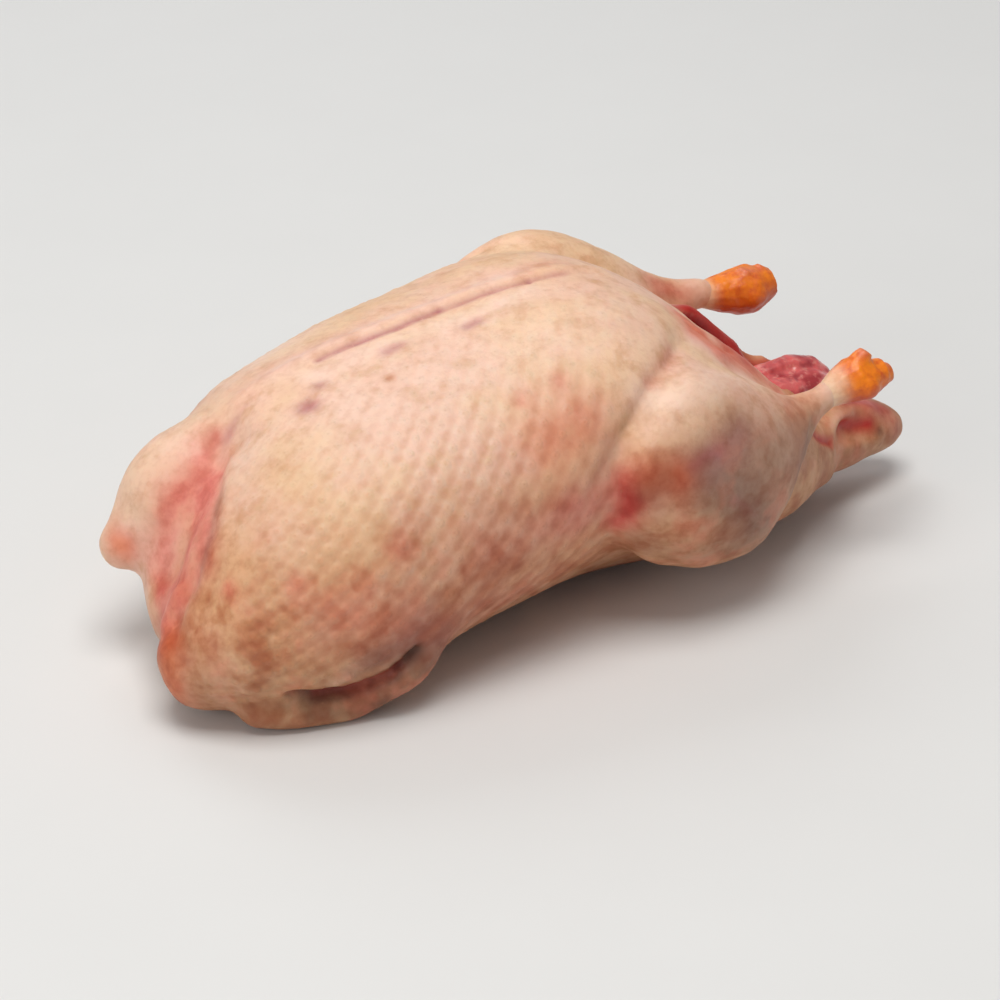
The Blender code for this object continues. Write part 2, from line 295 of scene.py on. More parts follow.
@dataclass(frozen=True)
class Limb:
    """A round limb: places along its spine (mm) and the radius at each."""

    path: Path
    radii: tuple[float, ...]
    sides: int = 14
    end_slice: float = 0.7

    def add_to(self, bm: bmesh.types.BMesh) -> None:
        """Add the limb as a closed tube with round ends; one place makes a ball.

        Args:
            bm: The edit mesh.
        """
        if len(self.path) == 1:
            made = bmesh.ops.create_icosphere(bm, subdivisions=3, radius=self.radii[0] * MM)
            bmesh.ops.translate(bm, verts=made["verts"], vec=Vector(self.path[0]) * MM)
            return
        rings = self.rings(bm)
        for first, second in zip(rings, rings[1:]):
            for side in range(self.sides):
                other = (side + 1) % self.sides
                bm.faces.new((first[side], first[other], second[other], second[side]))
        bm.faces.new(rings[0][::-1])
        bm.faces.new(rings[-1])

    def rings(self, bm: bmesh.types.BMesh) -> list[list[bmesh.types.BMVert]]:
        """Add the rings round the spine, one at each place and one more beyond each end.

        Args:
            bm: The edit mesh.

        Returns:
            The corners of each ring, from the first end to the last.
        """
        spine = [Vector(place) for place in self.path]
        slim = math.sqrt(1 - self.end_slice * self.end_slice)
        rings = []
        for k, centre in enumerate(spine):
            ahead = (spine[min(k + 1, len(spine) - 1)] - spine[max(k - 1, 0)]).normalized()
            if k == 0:
                aside = ahead.orthogonal().normalized()
            else:
                aside = (aside - ahead * aside.dot(ahead)).normalized()
            above = ahead.cross(aside)
            slices = [(0.0, 1.0)]
            if k == 0:
                slices.insert(0, (-self.end_slice, slim))
            if k == len(spine) - 1:
                slices.append((self.end_slice, slim))
            for reach, share in slices:
                middle = centre + ahead * reach * self.radii[k]
                girth = self.radii[k] * share
                ring = []
                for side in range(self.sides):
                    turn = TURN * side / self.sides
                    point = middle + (aside * math.cos(turn) + above * math.sin(turn)) * girth
                    ring.append(bm.verts.new(point * MM))
                rings.append(ring)
        return rings


def fuse(
    name: str, limbs: tuple[Limb, ...], grain: float, rounds: int,
    solid: bpy.types.Mesh | None = None,
) -> bpy.types.Object:
    """Fuse overlapping closed shapes into one even, smoothed skin.

    Args:
        name: The new piece's name.
        limbs: The shapes.
        grain: The size of the new faces, in millimetres.
        rounds: How many rounds of smoothing it gets.
        solid: A mesh of loose triangles that the limbs grow out of.

    Returns:
        The new piece, smoothly shaded.
    """
    bm = bmesh.new()
    if solid:
        bm.from_mesh(solid)
        bmesh.ops.remove_doubles(bm, verts=bm.verts, dist=WELD * MM)
    for limb in limbs:
        limb.add_to(bm)
    piece = new_piece(name, from_bmesh(name, bm))
    remesh = piece.modifiers.new("even skin", "REMESH")
    remesh.mode = "VOXEL"
    remesh.voxel_size = grain * MM
    remesh.use_smooth_shade = True
    smooth = piece.modifiers.new("melt", "SMOOTH")
    smooth.factor = 0.5
    smooth.iterations = rounds
    settled(piece)
    return piece


# ---------------------------------------------------------------- shader expressions


class Value:
    """A shader socket that Python expressions can work with."""

    def __init__(self, graph: "Wiring", socket: bpy.types.NodeSocket) -> None:
        """Wrap one output socket of a graph."""
        self.graph = graph
        self.socket = socket

    def __add__(self, other: "Value | float") -> "Value":
        """Add."""
        return self.graph.maths("ADD", self, other)

    __radd__ = __add__

    def __sub__(self, other: "Value | float") -> "Value":
        """Take away."""
        return self.graph.maths("SUBTRACT", self, other)

    def __rsub__(self, other: float) -> "Value":
        """Take this away from a number."""
        return self.graph.maths("SUBTRACT", other, self)

    def __mul__(self, other: "Value | float") -> "Value":
        """Multiply."""
        return self.graph.maths("MULTIPLY", self, other)

    __rmul__ = __mul__

    def cosine(self) -> "Value":
        """Give the cosine of a number of whole turns."""
        return self.graph.maths("COSINE", self * TURN)

    def between(self, start: float, end: float) -> "Value":
        """Rise smoothly from 0 to 1.

        Args:
            start: The number that gives 0.
            end: The number that gives 1.

        Returns:
            A number from 0 to 1.
        """
        settings = {"interpolation_type": "SMOOTHSTEP"}
        sockets = {"Value": self, "From Min": start, "From Max": end}
        return self.graph.node("ShaderNodeMapRange", settings, sockets, "Result")

    def clamped(self) -> "Value":
        """Keep the number between 0 and 1."""
        return self.graph.node("ShaderNodeClamp", {}, {"Value": self}, "Result")


class Wiring:
    """A node tree that is made by expressions."""

    tree: bpy.types.NodeTree

    def node(
        self, kind: str, settings: dict[str, Any], sockets: dict[Any, Any], output: Any = 0
    ) -> Value:
        """Make any node.

        Args:
            kind: The node's type.
            settings: Its own settings, by name.
            sockets: Numbers, colours or values for its sockets, by name or place.
            output: Which of its outputs to give, by name or place.

        Returns:
            That output.
        """
        made = self.tree.nodes.new(kind)
        for key, setting in settings.items():
            setattr(made, key, setting)
        for key, given in sockets.items():
            if isinstance(given, Value):
                self.tree.links.new(given.socket, made.inputs[key])
            else:
                made.inputs[key].default_value = given
        return Value(self, made.outputs[output])

    def maths(self, operation: str, first: Any, second: Any = 0.0) -> Value:
        """Work out one number from one or two others."""
        return self.node("ShaderNodeMath", {"operation": operation}, {0: first, 1: second})


class Graph(Wiring):
    """A material's node tree."""

    def __init__(self, name: str) -> None:
        """Start a material with nothing but its shader and output.

        Args:
            name: The material's name.
        """
        self.material = bpy.data.materials.new(name)
        self.material.use_nodes = True
        self.tree = self.material.node_tree
        self.shader = self.tree.nodes["Principled BSDF"]

    def mix(self, first: Any, second: Any, share: Any) -> Value:
        """Mix two colours; share 0 gives the first and 1 the second."""
        return self.blend("MIX", first, second, share)

    def darken(self, colour: Any, by: Any, share: Any) -> Value:
        """Multiply a colour by another, as far as share says."""
        return self.blend("MULTIPLY", colour, by, share)

    def blend(self, way: str, first: Any, second: Any, share: Any) -> Value:
        """Blend two colours in one of the Mix node's ways."""
        settings = {"data_type": "RGBA", "blend_type": way}
        return self.node("ShaderNodeMix", settings, {0: share, 6: first, 7: second}, 2)

    def place(self) -> Value:
        """Give the place on the object."""
        return self.node("ShaderNodeTexCoord", {}, {}, "Object")

    def field(self, name: str) -> Value:
        """Read a number that the mesh keeps under a name."""
        return self.node("ShaderNodeAttribute", {"attribute_name": name}, {}, "Fac")

    def cloud(self, place: Value, size: float, detail: float = 3.0, rough: float = 0.55) -> Value:
        """Give an even noise with waves of a size in millimetres.

        Args:
            place: The place on the object.
            size: The waves' size.
            detail: How many finer layers it has.
            rough: How strong those are.

        Returns:
            The noise, about 0 to 1.
        """
        scale = 1 / (size * MM)
        sockets = {"Vector": place, "Scale": scale, "Detail": detail, "Roughness": rough}
        return self.node("ShaderNodeTexNoise", {}, sockets, "Fac")

    def cells(self, place: Value, size: float) -> Value:
        """Give the distance to the nearest of scattered points, in cells of a size (mm)."""
        sockets = {"Vector": place, "Scale": 1 / (size * MM)}
        return self.node("ShaderNodeTexVoronoi", {"feature": "F1"}, sockets, "Distance")

    def bump(self, height: Value, depth: float, strength: float = 1.0) -> Value:
        """Turn a height into a normal; depth is the height of 1, in millimetres."""
        sockets = {"Height": height, "Distance": depth * MM, "Strength": strength}
        return self.node("ShaderNodeBump", {}, sockets, "Normal")

    def dress(self, **sockets: Any) -> bpy.types.Material:
        """Set the shader's sockets, whose names have _ for spaces.

        Args:
            **sockets: A number, colour or value for each socket.

        Returns:
            The material.
        """
        for key, given in sockets.items():
            name = key.replace("_", " ")
            if isinstance(given, Value):
                self.tree.links.new(given.socket, self.shader.inputs[name])
            else:
                self.shader.inputs[name].default_value = given
        return self.material


class Recipe(Wiring):
    """A Geometry Nodes tree with named inputs."""

    def __init__(self, name: str, inputs: dict[str, str]) -> None:
        """Start a tree.

        Args:
            name: The tree's name.
            inputs: The kind of socket for each named input beside the geometry.
        """
        self.tree = bpy.data.node_groups.new(name, "GeometryNodeTree")
        sockets = self.tree.interface
        for label, kind in ({"Geometry": "Geometry"} | inputs).items():
            sockets.new_socket(name=label, in_out="INPUT", socket_type=f"NodeSocket{kind}")
        sockets.new_socket(name="Geometry", in_out="OUTPUT", socket_type="NodeSocketGeometry")
        self.inputs = self.tree.nodes.new("NodeGroupInput")

    def given(self, label: str) -> Value:
        """Give one of the tree's inputs."""
        return Value(self, self.inputs.outputs[label])

    def named(self, name: str, kind: str = "FLOAT") -> Value:
        """Read what the geometry keeps under a name."""
        return self.node("GeometryNodeInputNamedAttribute", {"data_type": kind}, {"Name": name})

    def mesh_of(self, label: str) -> Value:
        """Give the mesh of an object that is one of the inputs."""
        return self.node("GeometryNodeObjectInfo", {}, {"Object": self.given(label)}, "Geometry")

    def random(self, lowest: Any, highest: Any, seed: Any) -> Value:
        """Draw an even random number for each point."""
        settings = {"data_type": "FLOAT"}
        return self.node("FunctionNodeRandomValue", settings, {2: lowest, 3: highest, 8: seed}, 1)

    def store(self, geometry: Value, name: str, value: Value, kind: str = "FLOAT") -> Value:
        """Keep a value on each point of a geometry under a name.

        Args:
            geometry: The geometry.
            name: The name.
            value: The value.
            kind: The value's type.

        Returns:
            The geometry with the value.
        """
        sockets = {"Geometry": geometry, "Name": name, "Value": value}
        settings = {"data_type": kind, "domain": "POINT"}
        return self.node("GeometryNodeStoreNamedAttribute", settings, sockets)

    def beneath(self, mesh: Value, value: Value, kind: str = "FLOAT") -> Value:
        """Read a value of a mesh where it lies nearest to each point."""
        sockets = {"Mesh": mesh, "Value": value}
        return self.node("GeometryNodeSampleNearestSurface", {"data_type": kind}, sockets)

    def move(self, geometry: Value, place: Value, offset: Value) -> Value:
        """Put each point of a geometry at a place and an offset from it."""
        sockets = {"Geometry": geometry, "Position": place, "Offset": offset}
        return self.node("GeometryNodeSetPosition", {}, sockets)

    def run(
        self, geometry: Value, piece: bpy.types.Object, settings: dict[str, Any]
    ) -> bpy.types.Mesh:
        """Run the tree on a piece.

        Args:
            geometry: What the tree gives.
            piece: The piece, whose mesh the tree's result replaces.
            settings: What each named input is set to.

        Returns:
            The piece's new mesh.
        """
        end = self.tree.nodes.new("NodeGroupOutput")
        self.tree.links.new(geometry.socket, end.inputs[0])
        modifier = piece.modifiers.new(self.tree.name, "NODES")
        modifier.node_group = self.tree
        for item in self.tree.interface.items_tree:
            if item.in_out == "INPUT" and item.name in settings:
                modifier[item.identifier] = settings[item.name]
        return settled(piece)


# ---------------------------------------------------------------- finishes


class Zone(Enum):
    """The colour zones painted on the skin, each kept as a field of the mesh."""

    PALE = "pale"
    TAN = "tan"
    GREY = "grey"
    ROSE = "rose"
    BLUSH = "blush"
    BRUISE = "bruise"
    ORANGE = "orange"
    # Mostly painted shade in creases, in the wing's gap and low down, with a few darker patches of
    # the skin's own
    SHADE = "shade"
    FLESH = "flesh"


@dataclass(frozen=True)
class SkinFinish:
    """Raw, moist skin with fat under it, coloured by zones and by rows of feather pits; some zones
    and the darker valleys are partly painted shade, as noted.
    """

    warm: Colour = tint(236, 196, 158)
    rosy: Colour = tint(239, 195, 170)
    cream: Colour = tint(236, 200, 152)
    zones: dict[Zone, Colour] = field(default_factory=lambda: {
        Zone.PALE: tint(250, 222, 208),
        Zone.TAN: tint(206, 146, 98),
        Zone.GREY: tint(150, 116, 100),
        Zone.ROSE: tint(228, 132, 120),
        Zone.BLUSH: tint(214, 88, 74),
        Zone.BRUISE: tint(176, 92, 104),
        Zone.ORANGE: tint(232, 130, 70),
        # Dark brown of the shade zone: mostly painted shade, partly darker patches of the skin
        Zone.SHADE: tint(100, 62, 44),
        Zone.FLESH: tint(188, 26, 14),
    })
    # Brown blotches weighted towards the bottom: partly the skin's own blotches, partly painted
    # shade low down
    tan_blotch_colour: Colour = tint(210, 150, 110)
    flush_colour: Colour = tint(224, 128, 100)
    blot_colour: Colour = tint(222, 158, 124)
    pit_tone_and_shade_colour: Colour = tint(186, 128, 94)
    # Darker brown in the rows' valleys: partly the skin's own lines, partly painted shade
    valley_tone_and_shade_colour: Colour = tint(206, 156, 124)
    mottle_colour: Colour = tint(205, 158, 134)
    grain_colour: Colour = tint(215, 180, 160)

    def make(self) -> bpy.types.Material:
        """Make the material.

        Returns:
            The skin's material.
        """
        graph = Graph("raw duck skin")
        place = graph.place()
        blotches = graph.cloud(place, 42.0, 3.0)
        mottle = graph.cloud(place, 9.0, 4.0)
        grain = graph.cloud(place, 2.4, 3.0)
        colour = graph.mix(self.warm, self.rosy, blotches.between(0.38, 0.62))
        colour = graph.mix(colour, self.cream, mottle.between(0.5, 0.8) * 0.55)
        uneven = mottle.between(0.25, 0.7) * 0.4 + 0.7
        for zone, zone_colour in self.zones.items():
            share = graph.field(zone.value)
            if zone in (Zone.ROSE, Zone.BLUSH, Zone.TAN):
                share = (share * uneven).clamped()
            colour = graph.mix(colour, zone_colour, share)
        # Brown blotches and pink flushes where the tan zone lies, mostly low on the sides; the
        # darkening there is partly the skin's own blotches, partly painted shade low down.
        patches = graph.cloud(place, 24.0, 3.5, 0.6)
        tan_cover = graph.field(Zone.TAN.value)
        tan_blotch_share = patches.between(0.46, 0.66) * (tan_cover * 0.7 + 0.12)
        colour = graph.darken(colour, self.tan_blotch_colour, tan_blotch_share)
        flushed = (patches * -1.0 + 1.0).between(0.5, 0.68) * (tan_cover * 0.5)
        colour = graph.mix(colour, self.flush_colour, flushed)
        blots = graph.cloud(place, 13.0, 2.0)
        colour = graph.darken(colour, self.blot_colour, blots.between(0.5, 0.64) * tan_cover * 0.5)
        rows = graph.field("rows")
        first = graph.field("row_a").cosine()
        second = graph.field("row_b").cosine()
        ridge = first * 0.7 + second * 0.3
        # Darker in the valleys between the raised rows: partly the skin's own brownish lines,
        # partly painted shade in the valleys.
        valley_tone_and_shade = (ridge * -1.0).between(-0.3, 1.0) * rows
        patchy = blotches.between(0.3, 0.7) * 0.4 + mottle.between(0.3, 0.7) * 0.4 + 0.2
        colour = graph.darken(colour, self.valley_tone_and_shade_colour, (valley_tone_and_shade * patchy * 0.45).clamped())
        # Darker brown in each dome's pit: partly the pit's own colour, partly painted shade in the
        # hole.
        colour = graph.mix(colour, self.pit_tone_and_shade_colour, graph.field("pit") * 0.16)
        plain = (rows * -0.7 + 1.0) * (graph.field(Zone.PALE.value) * -0.7 + 1.0)
        mottled = mottle.between(0.45, 0.72) * plain * 0.42
        colour = graph.darken(colour, self.mottle_colour, mottled)
        colour = graph.darken(colour, self.grain_colour, grain.between(0.45, 0.7) * plain * 0.2)
        height = grain * 0.6 + mottle * 0.8
        wet = graph.field(Zone.FLESH.value)
        rough = 0.5 + mottle * 0.14 - wet * 0.16
        return graph.dress(
            Base_Color=colour, Roughness=rough, Normal=graph.bump(height, 0.35, 0.7),
            Subsurface_Weight=0.22, Subsurface_Radius=(1.0, 0.38, 0.2),
            Subsurface_Scale=3.5 * MM, Specular_IOR_Level=0.42,
            Coat_Weight=0.12, Coat_Roughness=0.3,
        )


@dataclass(frozen=True)
class HockFinish:
    """Orange leg skin over the joint, cream towards the leg, pink where it was cut and deeper
    orange underneath as painted shade.
    """

    orange: Colour = tint(248, 134, 0)
    deep: Colour = tint(206, 72, 0)
    cream: Colour = tint(241, 202, 168)
    pink: Colour = tint(220, 128, 100)
    scale_colour: Colour = tint(222, 178, 136)

    def make(self) -> bpy.types.Material:
        """Make the material.

        Returns:
            The hocks' material.
        """
        graph = Graph("orange hock skin")
        place = graph.place()
        mottle = graph.cloud(place, 5.0, 4.0)
        scales = graph.cells(place, 2.2)
        colour = graph.mix(self.orange, self.deep, mottle.between(0.4, 0.75) * 0.8)
        # Deeper orange on the downward-facing side: painted shade.
        colour = graph.mix(colour, self.deep, graph.field("under"))
        colour = graph.mix(colour, self.cream, graph.field("root"))
        colour = graph.mix(colour, self.pink, graph.field("tip") * mottle.between(0.25, 0.5))
        colour = graph.darken(colour, self.scale_colour, scales.between(0.45, 0.8) * 0.2)
        height = mottle * 0.8 - scales * 0.25
        return graph.dress(
            Base_Color=colour, Roughness=0.38 + mottle * 0.15,
            Normal=graph.bump(height, 0.6, 0.8),
            Subsurface_Weight=0.2, Subsurface_Radius=(1.0, 0.4, 0.18),
            Subsurface_Scale=3.0 * MM, Coat_Weight=0.15, Coat_Roughness=0.25,
        )


@dataclass(frozen=True)
class FleshFinish:
    """Wet red flesh with paler films and threads of fat."""

    deep: Colour = tint(170, 50, 56)
    red: Colour = tint(224, 102, 100)
    film: Colour = tint(240, 168, 154)

    def make(self) -> bpy.types.Material:
        """Make the material.

        Returns:
            The flesh's material.
        """
        graph = Graph("wet flesh")
        place = graph.place()
        cloud = graph.cloud(place, 11.0, 3.0)
        threads = graph.cloud(place, 3.4, 3.0, 0.55)
        colour = graph.mix(self.deep, self.red, cloud.between(0.38, 0.6))
        colour = graph.mix(colour, self.film, threads.between(0.5, 0.75) * 0.55)
        return graph.dress(
            Base_Color=colour, Roughness=0.24 + threads * 0.2,
            Normal=graph.bump(threads, 0.35, 0.5),
            Subsurface_Weight=0.2, Subsurface_Radius=(1.0, 0.2, 0.12),
            Subsurface_Scale=2.5 * MM, Coat_Weight=0.5, Coat_Roughness=0.12,
        )


@dataclass(frozen=True)
class FloorFinish:
    """A plain pale tabletop."""

    light: Colour = (0.76, 0.76, 0.75, 1.0)
    dark: Colour = (0.74, 0.74, 0.73, 1.0)

    def make(self) -> bpy.types.Material:
        """Make the material.

        Returns:
            The floor's material.
        """
        graph = Graph("pale tabletop")
        grain = graph.cloud(graph.place(), 60.0, 2.0)
        colour = graph.mix(self.light, self.dark, grain)
        return graph.dress(Base_Color=colour, Roughness=0.8)


# ---------------------------------------------------------------- rows of feather pits


@dataclass(frozen=True)
class FeatherRows:
    """The two families of slanting rows that the feather pits stand in, mirrored at the keel.

    A place is unrolled from the trunk: u runs along the body and v round it from the
    keel. Each family counts its rows by a number that is whole on a row.
    """

    girth: float = 74.0
    axis_height: float = 52.0
    across_first: tuple[float, float] = (0.105, 0.098)
    across_second: tuple[float, float] = (0.085, -0.110)
    bend: float = 0.0006
    bend_centre: tuple[float, float] = (-60.0, 75.0)
    front_from: float = -110.0
    front_length: float = 80.0
    front_stretch: float = 0.45
    numbers: tuple[int, int] = (-40, 60)
    rounds: int = 40
    most_bend: float = 30.0
    neck_end: float = -175.0
    tail_end: float = 100.0
    steps: int = 400
    pits_along: tuple[float, float] = (-170.0, 95.0)
    pits_round: tuple[float, float] = (0.03, 2.5)

    def unroll(self, points: np.ndarray) -> tuple[np.ndarray, np.ndarray]:
        """Unroll places from the trunk.

        Args:
            points: Places in millimetres, one a row.

        Returns:
            u and v of each place, in millimetres.
        """
        x, y, z = points.T
        front = np.maximum(self.front_from - x, 0.0)
        u = x - self.front_stretch * front * front / self.front_length
        v = self.girth * np.abs(np.arctan2(y, z - self.axis_height))
        return u, v

    def phases(self, points: np.ndarray) -> tuple[np.ndarray, np.ndarray]:
        """Give both row numbers of places.

        Args:
            points: Places in millimetres, one a row.

        Returns:
            The first and the second family's number at each place.
        """
        u, v = self.unroll(points)
        bend = self.bend * (u - self.bend_centre[0]) * (v - self.bend_centre[1])
        first = self.across_first[0] * u + self.across_first[1] * v - bend
        second = self.across_second[0] * u + self.across_second[1] * v + bend
        return first, second

    def relief(self, points: np.ndarray) -> np.ndarray:
        """Give the height of the rows' relief, about -1 to 1."""
        first, second = self.phases(points)
        return 0.66 * np.cos(TURN * first) + 0.34 * np.cos(TURN * second)

    def crossings(self) -> tuple[np.ndarray, np.ndarray]:
        """Find where the rows cross.

        Returns:
            The x, in millimetres, and the angle round the trunk of each crossing on one side.
        """
        counts = np.arange(*self.numbers)
        wanted = np.stack([grid.ravel() for grid in np.meshgrid(counts, counts)]).astype(float)
        slopes = np.array((self.across_first, self.across_second))
        place = np.linalg.solve(slopes, wanted)
        for _ in range(self.rounds):
            bend = self.bend * (place[0] - self.bend_centre[0]) * (place[1] - self.bend_centre[1])
            bend = np.clip(bend, -self.most_bend, self.most_bend)
            place = np.linalg.solve(slopes, wanted + np.stack((bend, -bend)))
        along = np.linspace(self.neck_end, self.tail_end, self.steps)
        unrolled, _ = self.unroll(np.stack((along, along * 0, along * 0), 1))
        x = np.interp(place[0], unrolled, along)
        angle = place[1] / self.girth
        kept = (x > self.pits_along[0]) & (x < self.pits_along[1])
        kept &= (angle > self.pits_round[0]) & (angle < self.pits_round[1])
        return x[kept], angle[kept]


# ---------------------------------------------------------------- the skin

# Lines on the bird that several marks follow (mm)
BREAST_EDGE = (
    (-128, 2, 86), (-139, -22, 83), (-148, -33, 74), (-154, -37, 65), (-160, -39, 55),
    (-166, -37, 44),
)
LEG_FRONT = (
    (44, -43, 105), (36, -51, 105), (21, -61, 103), (5, -70, 91), (-3, -74, 80), (1, -77, 64),
)
WING_GAP = (
    (-137, -68, 19), (-128, -70, 16), (-117, -72, 15), (-108, -75, 17), (-102, -77, 19),
    (-96, -78, 23), (-90, -79, 28),
)

# Folds pressed into the skin (mm); the strength is the depth, and a negative one raises
FOLDS = marks(
    (1.5, 0.9, (-84, 8, 110), (-67, 7, 114), (-50, 6, 117), (-33, 6, 120), (-17, 5, 122),
     (5, 3, 124)),
    (1.6, 0.6, (5, 3, 124), (22, 3, 124), (40, 5, 119)),
    (3.6, -0.6, (-112, 15, 98), (-81, 14, 110), (-50, 12, 116), (-17, 10, 121), (20, 8, 122)),
    (2.4, 1.0, (-127, 5, 89), (-112, 10, 98)),
    (2.4, 0.8, (-101, -17, 106), (-97, -14, 107)),
    (2.0, 0.5, (-62, -8, 115), (-57, -7, 116)),
    (2.0, 0.5, (-30, -12, 120), (-25, -11, 120)),
    (2.4, 1.2, *LEG_FRONT),
    (2.4, 1.2, *moved(LEG_FRONT, (0, 0, 13), -1)),
    (2.1, 3.8, *WING_GAP),
    (2.1, 3.8, *moved(WING_GAP, (20, 8, 2), -1)),
    (5.5, 1.7, *moved(BREAST_EDGE, (-2, 5, -2))),
    (4.5, -0.7, *moved(BREAST_EDGE, (2, -2, 1))),
    (5.0, 0.9, (-141, 2, 77), (-150, -1, 68), (-156, -3, 58), (-160, -3, 48)),
    (5.0, -1.0, (-163, -38, 47), (-165, -48, 39), (-165, -54, 32), (-162, -56, 21)),
    (1.8, 0.6, (-170, -44, 30), (-167, -50, 24)),
    (1.8, 0.5, (-168, -36, 42), (-172, -42, 34), (-170, -47, 30)),
    (2.2, -1.0, (-121, -74, 21), (-116, -76, 24)),
    (2.2, -1.0, (-112, -78, 28), (-106, -78, 31)),
    (1.8, 0.7, (-118, -77, 28), (-112, -76, 23)),
    (1.8, 0.8, (-132, -69, 14), (-129, -72, 7)),
    (1.6, 0.5, (-121, -72, 13), (-117, -75, 7)),
    (1.8, 0.8, (-112, -74, 14), (-107, -77, 8)),
    (1.8, 0.7, (-97, -79, 22), (-93, -81, 16)),
    (2.0, -0.6, (-106, -79, 36), (-97, -80, 38)),
    (1.8, 0.6, (-137, -30, 88), (-142, -37, 81), (-146, -43, 73)),
    (1.8, 0.7, (-158, 26, 62), (-150, 22, 74), (-140, 22, 84)),
    (1.6, 0.6, (-163, 14, 56), (-158, 10, 66), (-150, 11, 76)),
    (1.8, 0.6, (-146, 34, 66), (-140, 34, 76), (-131, 32, 85)),
    (1.8, 0.7, (-160, -54, 34), (-160, -58, 26), (-152, -64, 18)),
    (2.6, 0.7, (96, -56, 64), (90, -64, 56), (82, -72, 46)),
    (2.4, 0.6, (99, -50, 56), (95, -58, 47), (86, -66, 38)),
    (1.6, 0.5, (60, -42, 99), (54, -52, 100), (46, -60, 100)),
    (1.6, 0.5, (78, -36, 88), (72, -46, 91), (64, -54, 93)),
    (1.6, 0.9, (61, -24, 101), (68, -28, 96), (74, -27, 91), (79, -25, 87)),
    (2.2, -0.9, (66, -37, 96), (73, -35, 90), (80, -36, 84), (88, -37, 76)),
    (1.8, 0.6, (64, -43, 95), (72, -42, 89), (80, -43, 83)),
    (1.2, -0.35, (36, -84, 73), (50, -82, 77), (62, -77, 79)),
    (1.2, -0.3, (32, -82, 60), (42, -85, 50), (50, -84, 40)),
    (1.8, 0.6, (-118, -77, 24), (-108, -80, 30), (-98, -81, 34)),
    (1.8, 0.5, (-96, -78, 22), (-84, -78, 27), (-70, -78, 30)),
    (3.2, 0.7, (136, -17, 37), (145, -15, 33), (153, -15, 31)),
    (1.8, 1.5, (113, -36, 47), (118, -32, 41), (124, -29, 37)),
    (2.4, -0.9, (130, -24, 31), (142, -20, 27), (156, -16, 24)),
)


